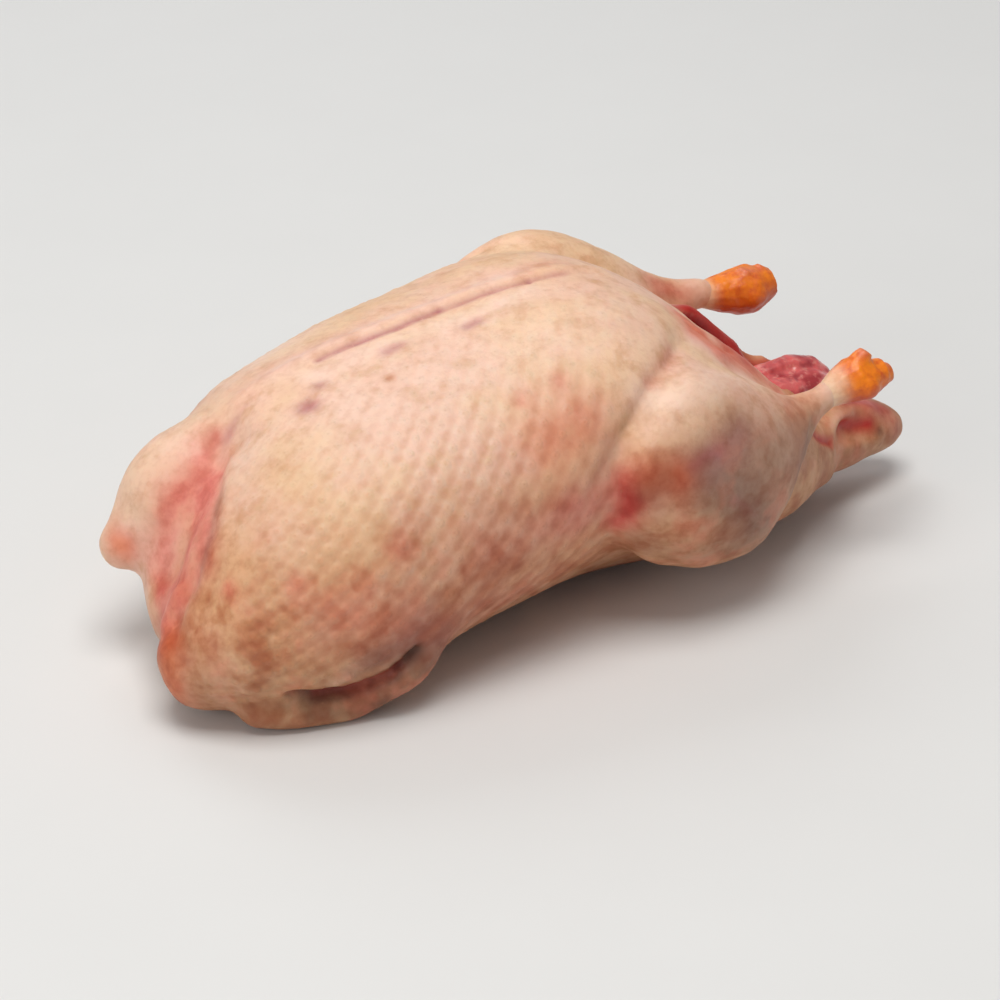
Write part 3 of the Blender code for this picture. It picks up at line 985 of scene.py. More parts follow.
@dataclass
class Skin:
    """The bird's whole skin: a fine copy of its solid with folds, rows of pits and colour zones."""

    rows: FeatherRows
    grain: float = 1.46
    melt_rounds: int = 10
    row_height: float = 0.17
    hock_sink: float = 3.2
    flesh_sink: float = 3.0
    loose_reach: float = 8.0
    lump_layers: tuple[Layer, ...] = ((0.55, 17.0, 1), (0.24, 6.0, 2))
    variety_layers: tuple[Layer, ...] = ((0.5, 12.0, 3),)
    drift_layers: tuple[Layer, ...] = ((2.2, 9.0, 4), (0.8, 3.0, 5))
    pocket: Path = ((49, 0, 36), (63, 0, 49), (77, -2, 62), (86, -3, 70))
    added: tuple[Limb, ...] = (
        Limb(((127, -27, 30), (123, -27, 35), (126, -24.5, 39.5), (133, -18.5, 41),
              (143, -14, 39.5)), (1.4, 1.9, 2.2, 2.1, 1.5)),
        Limb(((-161, -27, 24), (-162, -27, 34), (-158, -28, 44), (-149, -29, 56)),
             (8.0, 8.5, 8.0, 6.0)),
    )

    def build(self) -> bpy.types.Object:
        """Build the skin, paint its zones and sculpt it.

        Returns:
            The skin.
        """
        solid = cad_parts["duck"].data
        piece = fuse("skin", self.added, self.grain, self.melt_rounds, solid)
        places = read_places(piece.data)
        normals = read_normals(piece.data)
        self.paint(piece.data, places, normals)
        self.sculpt(piece.data, places, normals)
        return piece

    def sculpt(self, mesh: bpy.types.Mesh, places: np.ndarray, normals: np.ndarray) -> None:
        """Press the folds, raise the rows and break up the even curves.

        Args:
            mesh: The skin's mesh.
            places: Its places, in millimetres.
            normals: Its normals.
        """
        sink = sum(fold.cover(places) for fold in FOLDS) + self.under_pieces(places)
        raised = lumps(places, self.lump_layers) * self.softness(places)
        variety = 1 + lumps(places, self.variety_layers)
        ripple = self.row_height * self.row_strength(places, normals) * variety
        ripple *= self.rows.relief(places)
        shaped = places + normals * (raised + ripple - sink)[:, None]
        shaped[:, 2] = np.maximum(shaped[:, 2], 0.0)
        write_places(mesh, shaped)

    def under_pieces(self, places: np.ndarray) -> np.ndarray:
        """Say how far the skin sinks under the bare hocks and the vent's flesh.

        Args:
            places: Places in millimetres, one a row.

        Returns:
            The depth at each place, in millimetres.
        """
        x, y, z = places.T
        hocks = ease(x, 108, 119) * ease(np.abs(y), 28, 34) * ease(z, 54, 60)
        flesh = ease(x, 104, 111) * ease(-x, -146, -138)
        flesh *= ease(-np.abs(y - 3), -15, -11) * ease(z, 42, 48)
        return self.hock_sink * hocks + self.flesh_sink * flesh

    def softness(self, places: np.ndarray) -> np.ndarray:
        """Say how lumpy the skin is: more on the legs and the neck end than on the breast.

        Args:
            places: Places in millimetres, one a row.

        Returns:
            The lumps' strength at each place, 0 to 1.
        """
        x, y = places[:, 0], places[:, 1]
        ends = ease(np.abs(x + 30), 40, 110)
        hocks = ease(x, 98, 106) * ease(np.abs(y), 28, 34)
        return 0.45 + 0.55 * ends - 0.9 * hocks

    def row_strength(self, places: np.ndarray, normals: np.ndarray) -> np.ndarray:
        """Say how clearly the rows of pits stand out at each place.

        Args:
            places: Places in millimetres, one a row.
            normals: The skin's normals there.

        Returns:
            The rows' strength at each place, 0 to 1.
        """
        x, y, z = places.T
        aside = np.abs(y)
        thigh = ease(x, -6, 12) * ease(aside, 38, 56)
        vent_end = ease(x, 54, 82)
        neck_face = ease(-normals[:, 0], 0.62, 0.85)
        neck_flap = ease(-x, 130, 154) * ease(y, -40, -18)
        strength = (1.0 - 0.93 * thigh) * (1.0 - 0.92 * vent_end)
        strength *= (1.0 - 0.95 * neck_face) * (1.0 - 0.8 * neck_flap)
        strength *= 0.12 + 0.18 * ease(np.abs(y - 6), 9, 22) + 0.7 * ease(aside, 34, 68)
        outward = np.stack((y, z - self.rows.axis_height), 1)
        outward /= np.maximum(np.linalg.norm(outward, axis=1), 1.0)[:, None]
        facing = np.einsum("ij,ij->i", outward, normals[:, 1:])
        return strength * ease(z, 8, 20) * ease(facing, 0.4, 0.65)

    def paint(self, mesh: bpy.types.Mesh, places: np.ndarray, normals: np.ndarray) -> None:
        """Keep the colour zones and the row numbers as fields of the mesh.

        Args:
            mesh: The skin's mesh.
            places: Its places before it is sculpted, in millimetres.
            normals: Its normals then.
        """
        first, second = self.rows.phases(places)
        write_field(mesh, "row_a", first)
        write_field(mesh, "row_b", second)
        write_field(mesh, "rows", self.row_strength(places, normals))
        drift = sum(far * wobble(places, size, seed) for far, size, seed in self.drift_layers)
        for zone, zone_marks in ZONE_MARKS.items():
            bare = np.ones(len(places))
            for mark in zone_marks:
                share = min(1.0, mark.reach / self.loose_reach)
                bare *= 1 - np.clip(mark.cover(places + share * drift), 0, 1)
            broad = self.broad_cover(zone, places, normals, drift)
            write_field(mesh, zone.value, np.maximum(1 - bare, broad))

    def broad_cover(
        self, zone: Zone, places: np.ndarray, normals: np.ndarray, drift: np.ndarray
    ) -> np.ndarray | float:
        """Say how far a zone covers a whole side of the bird, beside its marks.

        Args:
            zone: The colour zone.
            places: Places in millimetres, one a row.
            normals: The skin's normals there.
            drift: How far the zone's edge strays there.

        Returns:
            The cover at each place, or 0 for a zone that has nothing but marks.
        """
        x, y, z = (places + drift).T
        if zone is Zone.FLESH:
            return self.inside_vent(places, normals)
        # Browner towards the bottom: partly the skin's own tone, partly painted shade.
        if zone is Zone.TAN:
            neck_flap = ease(-x, 112, 140) * ease(y, -34, 0)
            return 0.78 * ease(-z, -104, -46) * (1 - 0.85 * neck_flap)
        # Darker towards the bottom: painted shade under the bird.
        if zone is Zone.SHADE:
            return 0.36 * ease(-z, -46, -8)
        return 0.0

    def inside_vent(self, places: np.ndarray, normals: np.ndarray) -> np.ndarray:
        """Say how far each place is part of the vent's inner wall.

        Args:
            places: Places in millimetres, one a row.
            normals: The skin's normals there.

        Returns:
            The share of each place, 0 to 1.
        """
        axis = np.array(self.pocket, dtype=float)
        facing = np.zeros(len(places))
        away = np.full(len(places), np.inf)
        for first, second in zip(axis, axis[1:]):
            inward = -nearest_on(places, first, second)
            length = np.linalg.norm(inward, axis=1)
            towards = np.einsum("ij,ij->i", normals, inward) / length
            facing = np.where(length < away, towards, facing)
            away = np.minimum(away, length)
        return ease(facing, 0.05, 0.45) * ease(-away, -34, -28)


# Colour zones: marks by their places on the skin (mm). Some are painted shade and painted
# highlights, as noted at each.
ZONE_MARKS: dict[Zone, tuple[Mark, ...]] = {
    Zone.PALE: marks(
        (10, 0.3, (-124, 3, 90), (-131, -20, 91), (-140, -34, 85)),
        (20, 0.25, (-95, -34, 107), (-36, -38, 114), (20, -34, 117)),
        (10, 0.5, (18, -66, 99), (33, -71, 99), (52, -62, 98)),
        (10, 0.9, (122, -46, 72), (113, -47, 71)),
        (10, 0.9, (122, 46, 76), (106, 46, 78)),
        # Paler along the raised ridge by the keel: partly the skin's own pinkish white, partly
        # painted highlight on the ridge.
        (6, 0.6, (-100, 16, 106), (-50, 14, 116), (0, 12, 122)),
        (8, 0.35, (-90, 0, 112), (-50, -2, 118), (0, -6, 124)),
        (16, 0.35, (-142, 16, 84), (-155, 22, 66), (-163, 16, 52)),
        # Paler along the flap's raised fold by the vent: partly the flap's own paler colour, partly
        # painted highlight on the fold.
        (7, 0.7, (59, -34, 101), (66, -31, 96), (73, -30, 90), (81, -32, 82), (90, -33, 73)),
        (2.6, 0.8, (124, -27, 36), (126, -24, 41), (133, -20, 43), (145, -14, 40)),
        (22, 0.45, (-112, 40, 97), (-90, 50, 100)),
        # Painted highlights on the two raised wrinkles at the wing's end.
        (4, 0.7, (-121, -74, 21), (-116, -76, 24)),
        (4, 0.7, (-112, -78, 28), (-106, -78, 31)),
        (6, 0.4, (58, -36, 101), (64, -42, 96), (76, -44, 88)),
    ),
    Zone.TAN: marks(
        # Tan marks. Those low on the legs and under the wings are partly the skin's own tan and
        # partly painted shade low down; the small round one is a brown spot.
        (11, 0.75, (31, -82, 36), (51, -81, 34), (65, -80, 41)),
        (11, 0.6, (31, 82, 49), (51, 81, 44), (65, 80, 48)),
        (12, 0.2, (25, -80, 88), (45, -76, 92), (62, -72, 86)),
        (10, 0.6, (78, -71, 43), (96, -53, 42), (111, -41, 42), (118, -37, 30)),
        (2.0, 0.9, (-70, -24, 113)),
        (9, 0.7, (150, -14, 24), (163, -12, 20), (140, -22, 26)),
        (7, 0.8, (-138, -66, 12), (-120, -72, 9), (-100, -75, 10)),
        (7, 0.8, (-118, 80, 14), (-100, 84, 12), (-80, 84, 12)),
    ),
    Zone.GREY: marks(
        (17, 0.9, (37, -85, 68), (49, -85, 56), (57, -83, 44)),
        (16, 0.55, (50, -80, 80), (62, -79, 72), (78, -70, 62), (90, -60, 54)),
        (7, 0.45, (27, -84, 77), (38, -83, 79), (50, -80, 82)),
        (13, 0.5, (40, 85, 78), (57, 83, 60)),
        # Grey-olive at the wing's end and the flank above it: partly the skin's own tone, partly
        # painted shade there.
        (8, 0.75, (-108, -78, 30), (-98, -80, 35), (-88, -80, 42)),
        (9, 0.7, (-92, -79, 30), (-84, -77, 26), (-78, -76, 30)),
        (6, 0.6, (158, -8, 36), (164, -2, 33)),
    ),
    Zone.ROSE: marks(
        (11, 0.9, (-137, -3, 79), (-147, -14, 72), (-153, -18, 64), (-159, -19, 55),
         (-163, -17, 44), (-166, -18, 33)),
        (8, 0.75, (-141, -7, 73), (-147, -20, 71), (-152, -30, 69), (-155, -33, 63),
         (-163, -30, 47), (-166, -27, 38)),
        (8, 0.6, (-147, 3, 70), (-153, -1, 58), (-157, -2, 49)),
        (7, 0.5, (-152, 6, 60), (-157, 2, 52), (-161, 3, 46)),
        (7, 0.6, (-144, -5, 71), (-148, -14, 69), (-152, -17, 62)),
        (9, 0.3, (-130, 14, 90), (-140, 10, 83), (-150, 10, 75)),
        (8.0, 0.25, (-112, 20, 99), (-81, 17, 109), (-50, 15, 115), (-17, 13, 120), (20, 12, 122)),
        (12, 0.55, (-22, -78, 66), (-6, -78, 66)),
        (9, 0.95, (62, -18, 101), (62, -30, 100), (67, -34, 95), (74, -30, 90), (81, -29, 83)),
        (5, 0.8, (82, -27, 84), (92, -26, 75), (102, -25, 66)),
        (16, 0.4, (-78, -79, 29), (-60, -78, 28), (-10, -70, 28)),
        (6, 0.5, (163, -9, 28), (167, -10, 23)),
        (14, 0.35, (-60, -79, 62), (-20, -77, 66)),
        (16, 0.4, (-122, -72, 48), (-100, -79, 46)),
        (8, 0.25, (96, -50, 72), (84, -58, 78)),
    ),
    Zone.BLUSH: marks(
        (4.4, 0.6, (-128, 9, 89), (-135, 7, 84), (-142, 4, 79), (-148, 4, 73), (-153, 5, 68)),
        (3.5, 0.8, (-161, -3, 44), (-163, -8, 41)),
        (7, 0.4, (-164, -12, 43)),
        (4, 0.8, (-167, -16, 37), (-168, -22, 27)),
        (7.5, 0.6, (-172, -34, 38), (-173, -40, 27), (-171, -42, 17)),
        (6, 0.55, (-166, 21, 52), (-163, 17, 47)),
        (4, 0.6, (-154, -54, 61)),
        (5, 0.35, (-133, -71, 64)),
        (6, 0.4, (-96, -79, 73)),
        (4.5, 0.45, (-30, -56, 107)),
        (4, 0.35, (-15, -55, 110)),
        (15, 0.45, (-26, -70, 95), (-14, -68, 98)),
        (6.5, 1.0, (2, -77, 72), (3, -78, 64), (1, -74, 55)),
        (4.0, 0.7, (1, 76, 80), (2, 77, 73), (1, 75, 66)),
        (7, 0.75, (11, -81, 74), (19, -83, 73)),
        (4, 0.3, (39, -47, 106), (21, -61, 103)),
        (7, 0.4, (64, -20, 100), (65, -29, 98), (70, -33, 93), (76, -30, 88)),
        (3, 0.5, (67, -20, 98), (66, -27, 97), (71, -30, 93)),
        (3, 0.6, (78, -24, 88)),
        (4, 0.9, (78, -20, 90), (84, -23, 83), (92, -27, 78), (100, -33, 72), (105, -38, 68)),
        (5, 0.7, (104, 9, 69), (110, 9, 67), (118, 8, 62)),
        (5, 0.6, (163, -6, 33), (152, -8, 38)),
        (2.6, 1.0, (113, -36, 47), (118, -32, 41), (124, -29, 37)),
        (4.5, 0.9, (140, -8, 43), (150, -6, 40), (157, -5, 36)),
        (7, 0.6, (86, 42, 87), (95, 41, 82)),
        (5, 0.45, (-112, -73, 14), (-102, -76, 16)),
    ),
    Zone.BRUISE: marks(
        (4.5, 0.75, (-101, -17, 106)),
        (3.5, 0.5, (-92, -9, 109)),
        (3.5, 0.55, (-62, -8, 115), (-57, -7, 116)),
        (2.6, 0.6, (-30, -12, 120), (-25, -11, 120)),
        (1.6, 0.75, (-84, 8, 110), (-67, 7, 114), (-50, 6, 117), (-33, 6, 120)),
        (1.4, 0.6, (-33, 6, 120), (-17, 5, 122), (5, 3, 124)),
        (2.4, 0.5, (-127, 5, 89), (-112, 10, 98)),
        (3.0, 0.4, (27, -84, 77), (33, -84, 79), (38, -83, 79)),
        (9, 0.25, (31, -84, 76), (48, -80, 82)),
        (2.0, 0.3, (44, -84, 58), (54, -82, 48)),
        (5, 0.4, (140, -8, 43), (150, -6, 40), (158, -5, 35)),
        (9, 0.3, (-160, -14, 48)),
        (1.4, 0.45, (5, 3, 124), (22, 3, 124)),
    ),
    Zone.ORANGE: marks(
        (6.5, 0.65, (-173, -35, 36), (-174, -40, 28), (-173, -42, 17)),
        (13, 0.1, (-26, -70, 95), (-14, -68, 98)),
        (5, 0.6, (-165, 19, 48)),
        (8, 0.5, (19, -83, 73), (11, -81, 74)),
        (7, 0.2, (98, 47, 78), (104, 47, 77)),
        (6.5, 0.6, (109, 46, 76), (118, 46, 76)),
        (8, 0.4, (62, -18, 101), (64, -30, 99), (74, -30, 90), (90, -32, 74)),
        (8, 0.9, (126, -46, 72), (136, -46, 74)),
        (8, 0.9, (126, 46, 75), (136, 46, 75)),
    ),
    # Dark brown marks, mostly painted shade: along the breast edge's crease and the wing's gap, at
    # the leg's end, and low on the wing, the leg and the tail. The knee patch is the skin's own
    # darker tone.
    Zone.SHADE: marks(
        (3.2, 0.32, *moved(BREAST_EDGE[1:], (-3, 2, -2))),
        (2.6, 0.85, (156, -15, 28)),
        (5, 0.45, (-130, -70, 8), (-112, -76, 7), (-96, -77, 8)),
        (2.6, 0.3, (-160, -3, 46), (-157, -3, 56)),
        (6, 0.35, (96, -56, 64), (88, -66, 54), (80, -74, 44)),
        (8, 0.42, (14, -82, 73), (7, -80, 68)),
        (10, 0.15, (-160, -56, 18), (-150, -60, 14)),
        (2.8, 1.0, *WING_GAP),
        (3.4, 0.85, (-129, -69, 15), (-115, -71, 15), (-104, -75, 18), (-99, -78, 19)),
        (4, 0.4, (-97, -78, 22), (-91, -79, 27)),
        (8, 0.4, (-106, -78, 9), (-98, -80, 15), (-90, -80, 20), (-83, -79, 25)),
        (10, 0.36, (9, -74, 43), (32, -80, 33), (52, -79, 31)),
        (9, 0.42, (-138, -66, 12), (-120, -72, 10), (-100, -75, 11), (-88, -78, 18)),
        (8, 0.25, (152, -16, 22), (140, -22, 24)),
    ),
    Zone.FLESH: marks(
        (1.8, 0.35, *WING_GAP[1:-1]),
        (4.4, 1.0, (136, -16, 37), (145, -14, 33), (151, -14, 32)),
        (1.8, 0.8, (113, -36, 47), (118, -32, 41), (124, -29, 37)),
        (10, 0.9, (100, 2, 58), (112, 2, 60), (128, 2, 57), (138, 3, 50)),
        (7, 1.0, (76, 10, 96), (80, 11, 93), (84, 11, 88), (90, 12, 82), (98, 11, 74),
         (106, 10, 66)),
        (3.0, 0.5, (2, -77, 66), (2, -76, 59)),
    ),
}


# ---------------------------------------------------------------- feather pits


@dataclass
class FeatherPits:
    """The small domes round the feather pits, one where two rows cross."""

    rows: FeatherRows
    reach: float = 2.5
    height: float = 0.2
    sides: int = 8
    middle: Ring = (0.0, 0.4, 1.0)
    rings: tuple[Ring, ...] = (
        (0.13, 0.65, 1.0), (0.3, 1.0, 0.3), (0.52, 0.66, 0.0), (0.78, 0.16, 0.0), (1.0, -0.08, 0.0),
    )
    unevenness: float = 0.28
    faintest: float = 0.2
    drift: float = 0.35
    seed: int = 11
    cage_radius: float = 130.0

    def dome(self) -> bpy.types.Object:
        """Make one flat disc that keeps how far it rises and how deep in the pit it is.

        Returns:
            The disc.
        """
        turns = [TURN * side / self.sides for side in range(self.sides)]
        places = [(0.0, 0.0, 0.0)]
        for share, _, _ in self.rings:
            radius = self.reach * share * MM
            places += [(radius * math.cos(turn), radius * math.sin(turn), 0.0) for turn in turns]
        faces = [(0, 1 + side, 1 + (side + 1) % self.sides) for side in range(self.sides)]
        for first in range(1, 1 + (len(self.rings) - 1) * self.sides, self.sides):
            second = first + self.sides
            for side in range(self.sides):
                other = (side + 1) % self.sides
                faces.append((first + side, second + side, second + other, first + other))
        mesh = bpy.data.meshes.new("dome")
        mesh.from_pydata(places, [], faces)
        mesh.shade_smooth()
        spots = [self.middle, *(ring for ring in self.rings for _ in turns)]
        write_field(mesh, "rise", np.array([rise for _, rise, _ in spots]) * self.height * MM)
        write_field(mesh, "pit", np.array([depth for _, _, depth in spots]))
        return new_piece("dome", mesh)

    def seats(self) -> bpy.types.Object:
        """Make a point outside the trunk for each dome, with the way in kept as a field.

        Returns:
            The points.
        """
        x, angle = self.rows.crossings()
        x = np.concatenate((x, x))
        angle = np.concatenate((angle, -angle))
        outward = np.stack((x * 0, np.sin(angle), np.cos(angle)), 1)
        axis = np.stack((x, x * 0, x * 0 + self.rows.axis_height), 1)
        mesh = bpy.data.meshes.new("seats")
        mesh.from_pydata(((axis + self.cage_radius * outward) * MM).tolist(), [], [])
        inward = mesh.attributes.new("inward", "FLOAT_VECTOR", "POINT")
        inward.data.foreach_set("vector", (-outward).astype(np.float32).ravel())
        return new_piece("feather_pits", mesh)

    def build(self, skin: bpy.types.Object, finish: bpy.types.Material) -> bpy.types.Object:
        """Set a dome on the skin at every crossing, and let it read the skin's fields.

        Args:
            skin: The finished skin.
            finish: The skin's material.

        Returns:
            The domes, as one plain mesh.
        """
        dome = self.dome()
        piece = self.seats()
        recipe = Recipe("domes on the skin", {
            "Skin": "Object", "Dome": "Object", "Unevenness": "Float", "Faintest": "Float",
            "Drift": "Float", "Seed": "Int", "Finish": "Material",
        })
        skin_mesh = recipe.mesh_of("Skin")
        domes = self.stand(recipe, self.seat(recipe, skin_mesh))
        domes = self.wrap(recipe, domes, skin_mesh)
        finished = {"Geometry": domes, "Material": recipe.given("Finish")}
        domes = recipe.node("GeometryNodeSetMaterial", {}, finished)
        mesh = recipe.run(domes, piece, {
            "Skin": skin, "Dome": dome, "Unevenness": self.unevenness, "Faintest": self.faintest,
            "Drift": self.drift * MM, "Seed": self.seed, "Finish": finish,
        })
        write_places(mesh, read_places(mesh))
        bpy.data.objects.remove(dome)
        return piece

    def seat(self, recipe: Recipe, skin_mesh: Value) -> Value:
        """Drop the seats onto the skin, and leave out those where the rows are too faint.

        Args:
            recipe: The tree.
            skin_mesh: The skin's mesh in the tree.

        Returns:
            The seats that are left, on the skin.
        """
        hit = recipe.node("GeometryNodeRaycast", {"data_type": "FLOAT"}, {
            "Target Geometry": skin_mesh, "Attribute": recipe.named("rows"),
            "Ray Direction": recipe.named("inward", "FLOAT_VECTOR"), "Ray Length": 1.0,
        }, "Is Hit")
        found = hit.socket.node.outputs
        strength = Value(recipe, found["Attribute"]) * hit
        seats = recipe.store(recipe.given("Geometry"), "strength", strength)
        facing = Value(recipe, found["Hit Normal"])
        seats = recipe.store(seats, "facing", facing, "FLOAT_VECTOR")
        drift = recipe.given("Drift")
        less = drift * -1.0
        strays = {"X": recipe.random(less, drift, 3), "Y": recipe.random(less, drift, 5), "Z": 0.0}
        offset = recipe.node("ShaderNodeCombineXYZ", {}, strays)
        seats = recipe.move(seats, Value(recipe, found["Hit Position"]), offset)
        faint = recipe.maths("LESS_THAN", recipe.named("strength"), recipe.given("Faintest"))
        left_out = {"Geometry": seats, "Selection": faint}
        return recipe.node("GeometryNodeDeleteGeometry", {"domain": "POINT"}, left_out)

    def stand(self, recipe: Recipe, seats: Value) -> Value:
        """Stand a dome of its own size on each seat.

        Args:
            recipe: The tree.
            seats: The points that the domes stand on.

        Returns:
            The domes, as one mesh.
        """
        facing = {"Vector": recipe.named("facing", "FLOAT_VECTOR")}
        turned = recipe.node("FunctionNodeAlignRotationToVector", {"axis": "Z"}, facing)
        uneven = recipe.given("Unevenness")
        size = recipe.random(1.0 - uneven, 1.0 + uneven, recipe.given("Seed"))
        size = size * (recipe.named("strength") * 0.45 + 0.55)
        domes = recipe.node("GeometryNodeInstanceOnPoints", {}, {
            "Points": seats, "Instance": recipe.mesh_of("Dome"), "Rotation": turned, "Scale": size,
        })
        return recipe.node("GeometryNodeRealizeInstances", {}, {"Geometry": domes})

    def wrap(self, recipe: Recipe, domes: Value, skin_mesh: Value) -> Value:
        """Lay the domes on the skin, raise them and give them the fields beneath them.

        Args:
            recipe: The tree.
            domes: The domes.
            skin_mesh: The skin's mesh in the tree.

        Returns:
            The domes, raised.
        """
        touch, upward = (
            recipe.beneath(skin_mesh, recipe.node(kind, {}, {}), "FLOAT_VECTOR")
            for kind in ("GeometryNodeInputPosition", "GeometryNodeInputNormal")
        )
        risen = {0: upward, "Scale": recipe.named("rise") * recipe.named("strength")}
        lifted = recipe.node("ShaderNodeVectorMath", {"operation": "SCALE"}, risen)
        domes = recipe.move(domes, touch, lifted)
        for name in ("row_a", "row_b", "rows", *(zone.value for zone in Zone)):
            domes = recipe.store(domes, name, recipe.beneath(skin_mesh, recipe.named(name)))
        return domes


# ---------------------------------------------------------------- hocks and vent


@dataclass(kw_only=True)
class SoftPart:
    """A piece of fused limbs, with uneven lumps raised and creases pressed in."""

    name: str
    limbs: tuple[Limb, ...]
    creases: tuple[Mark, ...]
    layers: tuple[Layer, ...]
    grain: float
    melt_rounds: int = 5

    def build(self) -> bpy.types.Object:
        """Fuse the limbs and sculpt them.

        Returns:
            The piece.
        """
        piece = fuse(self.name, self.limbs, self.grain, self.melt_rounds)
        places = read_places(piece.data)
        normals = read_normals(piece.data)
        sink = sum(crease.cover(places) for crease in self.creases)
        raised = lumps(places, self.layers) * self.evenness(places)
        write_places(piece.data, places + normals * (raised - sink)[:, None])
        self.paint(piece.data, places, normals)
        return piece

    def evenness(self, places: np.ndarray) -> np.ndarray | float:
        """Say how much of the lumps' height each place takes."""
        return 1.0

    def paint(self, mesh: bpy.types.Mesh, places: np.ndarray, normals: np.ndarray) -> None:
        """Keep what the finish reads; a plain piece has nothing to keep."""


@dataclass(kw_only=True)
class Hock(SoftPart):
    """A bare hock: the knobbed joint at the end of a shank, where the foot came off."""

    layers: tuple[Layer, ...] = ((0.3, 5.5, 7), (0.1, 1.8, 8))
    grain: float = 0.6
    bare_from: float
    under_shade_from: float
    tips: tuple[Mark, ...]
    drift: Layer = (1.2, 4.0, 9)

    def evenness(self, places: np.ndarray) -> np.ndarray:
        """Keep the lumps off the end that lies in the leg's skin."""
        return ease(places[:, 0], self.bare_from + 1, self.bare_from + 8)

    def paint(self, mesh: bpy.types.Mesh, places: np.ndarray, normals: np.ndarray) -> None:
        """Keep the colour fields: the end in the leg, the underside's painted shade and the cut
        tip.

        Args:
            mesh: The hock's mesh.
            places: Its places before it is sculpted, in millimetres.
            normals: Its normals then.
        """
        far, size, seed = self.drift
        loose = places + far * wobble(places, size, seed)
        write_field(mesh, "root", 1 - ease(loose[:, 0], self.bare_from - 2, self.bare_from + 8))
        # Painted shade: how far the underside is darkened to deep orange.
        write_field(mesh, "under", ease(-normals[:, 2], self.under_shade_from, 0.7))
        write_field(mesh, "tip", np.clip(sum(tip.cover(loose) for tip in self.tips), 0, 1))


RIGHT_HOCK = Hock(
    name="right_hock",
    limbs=(
        Limb(((103, -47, 66.2), (110, -46.2, 68.6), (116, -46, 71), (122.5, -46, 72.6),
              (130, -46, 72.6)), (3.4, 5.3, 7.4, 9.3, 8.4)),
        Limb(((125.5, -41.8, 71.6),), (6.4,)),
        Limb(((125.5, -50.2, 71.6),), (6.4,)),
        Limb(((121.5, -46, 74), (126.8, -46, 81.0)), (7.4, 4.3)),
        Limb(((129, -46, 72), (136, -46, 71.8)), (7.4, 5.0)),
    ),
    creases=marks(
        (3.2, 1.4, (132, -50, 79), (132, -42, 79)),
        (1.8, 0.4, (117, -52, 76), (121, -53, 69)),
        (2.2, 0.7, (136, -50, 66), (134, -46, 63)),
        (1.6, 0.4, (127, -55, 77), (132, -54, 71)),
    ),
    bare_from=112.0,
    under_shade_from=-0.25,
    tips=marks((3.6, 0.8, (127, -46, 86)), (3.0, 0.5, (141, -46, 73), (139, -46, 76))),
)

LEFT_HOCK = Hock(
    name="left_hock",
    limbs=(
        Limb(((98, 47.6, 76.6), (107, 46.2, 76.3), (116, 46, 75), (124, 46, 74), (131, 46, 73.6),
              (134.5, 46, 74)), (4.2, 5.3, 7.8, 9.9, 10.6, 9.0)),
        Limb(((129, 41.5, 73.5),), (7.2,)),
        Limb(((129, 50.5, 73.5),), (7.2,)),
        Limb(((126, 44, 76), (127.6, 44, 81.0)), (6.4, 4.2)),
        Limb(((132, 46, 75), (136.0, 46.5, 79.0)), (6.8, 4.4)),
    ),
    creases=marks(
        (2.6, 0.6, (132, 40, 86), (132, 50, 86)),
        (1.8, 0.4, (118, 39, 80), (121, 37, 73)),
        (2.0, 0.6, (130, 36, 68), (136, 38, 70)),
        (1.6, 0.4, (126, 36, 80), (131, 35.5, 76)),
    ),
    bare_from=107.5,
    under_shade_from=-0.9,
    tips=marks((4.0, 0.7, (127, 43, 86), (132, 44, 85)), (3.6, 0.5, (140, 46, 80))),
)


@dataclass(kw_only=True)
class VentFlesh(SoftPart):
    """The wet flesh that shows behind the vent, in soft lumps with creases between them."""

    name: str = "vent_flesh"
    limbs: tuple[Limb, ...] = (
        Limb(((97, -9, 50), (108, -8, 52.5), (120, -6, 51)), (6.5, 7.8, 6.6)),
        Limb(((100, 4, 52.5), (112, 4, 54.2), (124, 4, 55.4), (134, 5, 52.5), (140, 5, 48)),
             (6.2, 6.8, 6.8, 6.2, 5.0)),
        Limb(((97, 12, 49), (108, 13, 50), (118, 13, 50.5), (130, 12, 48.5)), (6.0, 6.2, 5.4, 4.6)),
        Limb(((120, -4, 51), (130, -3, 50.5), (138, 0, 46)), (7.0, 7.0, 5.8)),
    )
    creases: tuple[Mark, ...] = marks(
        (1.5, 0.8, (100, -3, 58), (112, -2, 60), (124, -1, 59), (134, 1, 56)),
        (1.5, 0.8, (98, 8, 58), (110, 9, 59), (122, 10, 58.5)),
        (1.4, 0.5, (121, -8, 57), (123, 0, 60), (122, 8, 60)),
    )
    layers: tuple[Layer, ...] = ((0.5, 6.5, 12), (0.12, 2.0, 13))
    grain: float = 0.7


# ---------------------------------------------------------------- studio


@dataclass(frozen=True)
class Lamp:
    """A soft square light that faces the bird: place and width in metres, power in watts."""

    name: str
    place: Place
    width: float
    power: float
    colour: Place

    def hang(self) -> None:
        """Hang the lamp in the scene."""
        data = bpy.data.lights.new(self.name, "AREA")
        data.size = self.width
        data.energy = self.power
        data.color = self.colour
        lamp = bpy.data.objects.new(self.name, data)
        bpy.context.scene.collection.objects.link(lamp)
        lamp.location = self.place
        towards = Vector((0, 0, LAMP_AIM)) - Vector(self.place)
        lamp.rotation_euler = towards.to_track_quat("-Z", "Y").to_euler()


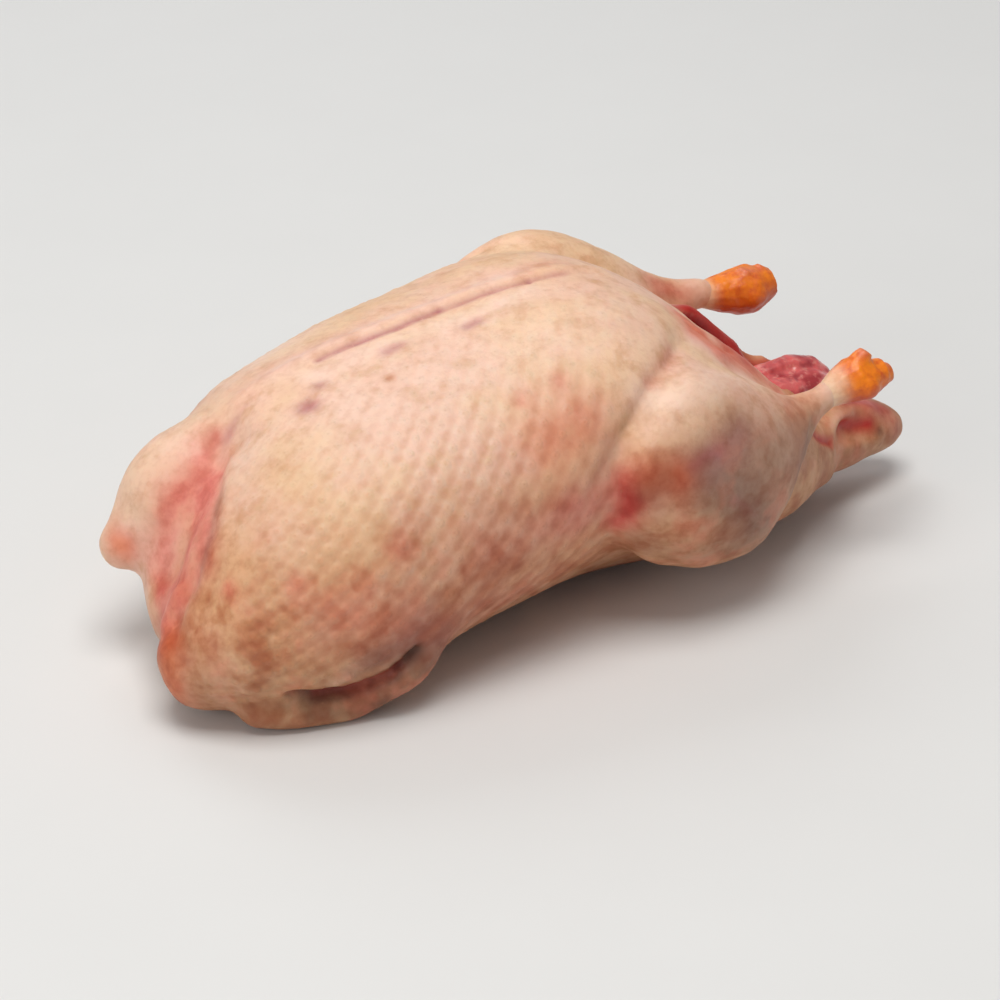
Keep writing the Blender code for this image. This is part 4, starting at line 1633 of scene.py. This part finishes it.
@dataclass
class Studio:
    """The floor, the soft lights and the camera: angles in degrees, lengths in millimetres."""

    azimuth: float = -27.8
    elevation: float = 27.7
    roll: float = -1.5
    distance: float = 1649.0
    aim: Place = (-6.4, 0.0, 55.0)
    aside: float = -4.2
    upward: float = -19.3
    lens: float = 151.7
    nearest: float = 50.0
    floor_width: float = 12000.0
    room_light: float = 0.27
    lamps: tuple[Lamp, ...] = (
        Lamp("key", (-0.2, -0.35, 1.95), 1.1, 25.2, (1.0, 0.985, 0.965)),
        Lamp("side", (-1.8, -0.7, 0.8), 1.0, 9.5, (1.0, 0.97, 0.94)),
        Lamp("back", (0.1, 1.3, 1.3), 1.0, 7.0, (0.97, 0.98, 1.0)),
    )

    def camera(self) -> None:
        """Place the camera at the photograph's angle."""
        angles = (self.azimuth, self.elevation, self.roll)
        turn, tilt, roll = (math.radians(angle) for angle in angles)
        level = Vector((math.cos(turn), math.sin(turn), 0))
        outward = Vector((math.sin(turn), -math.cos(turn), 0))
        back = outward * math.cos(tilt) + Vector((0, 0, math.sin(tilt)))
        steep = back.cross(level)
        right = level * math.cos(roll) + steep * math.sin(roll)
        upright = steep * math.cos(roll) - level * math.sin(roll)
        eye = Vector(self.aim) + back * self.distance + right * self.aside + upright * self.upward
        data = bpy.data.cameras.new("camera")
        data.lens = self.lens
        data.clip_start = self.nearest * MM
        camera = bpy.data.objects.new("camera", data)
        bpy.context.scene.collection.objects.link(camera)
        place = Matrix((right, upright, back)).transposed().to_4x4()
        place.translation = eye * MM
        camera.matrix_world = place
        bpy.context.scene.camera = camera

    def floor(self) -> bpy.types.Object:
        """Lay the floor just under the bird.

        Returns:
            The floor.
        """
        bm = bmesh.new()
        bmesh.ops.create_grid(bm, x_segments=1, y_segments=1, size=self.floor_width / 2 * MM)
        floor = new_piece("floor", from_bmesh("floor", bm))
        floor.data.materials.append(FloorFinish().make())
        return floor

    def build(self) -> None:
        """Set up the floor, the lights, the world and the camera."""
        self.floor()
        for lamp in self.lamps:
            lamp.hang()
        world = bpy.data.worlds.new("soft room")
        bpy.context.scene.world = world
        world.use_nodes = True
        backdrop = world.node_tree.nodes["Background"]
        backdrop.inputs["Color"].default_value = (1.0, 1.0, 1.0, 1.0)
        backdrop.inputs["Strength"].default_value = self.room_light
        bpy.context.scene.view_settings.view_transform = "Standard"
        self.camera()


# ---------------------------------------------------------------- main


def hand_over(piece: bpy.types.Object, finish: bpy.types.Material) -> None:
    """Give a piece its finish, tie it to the bird and report it.

    Args:
        piece: The piece.
        finish: Its material.
    """
    piece.data.materials.clear()
    piece.data.materials.append(finish)
    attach(piece, "root")
    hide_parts("duck")
    LOG.info("%s: %d faces", piece.name, len(piece.data.polygons))


def main() -> None:
    """Build every piece, dress it and report it."""
    logging.basicConfig(level=logging.INFO, format="%(name)s: %(message)s")
    noise.seed_set(STRAY_SEED)
    rows = FeatherRows()
    raw_skin = SkinFinish().make()
    skin = Skin(rows).build()
    pits = FeatherPits(rows).build(skin, raw_skin)
    hand_over(skin, raw_skin)
    hand_over(pits, raw_skin)
    hock_skin = HockFinish().make()
    for hock in (RIGHT_HOCK, LEFT_HOCK):
        hand_over(hock.build(), hock_skin)
    hand_over(VentFlesh().build(), FleshFinish().make())
    Studio().build()


if __name__ == "__main__":
    main()
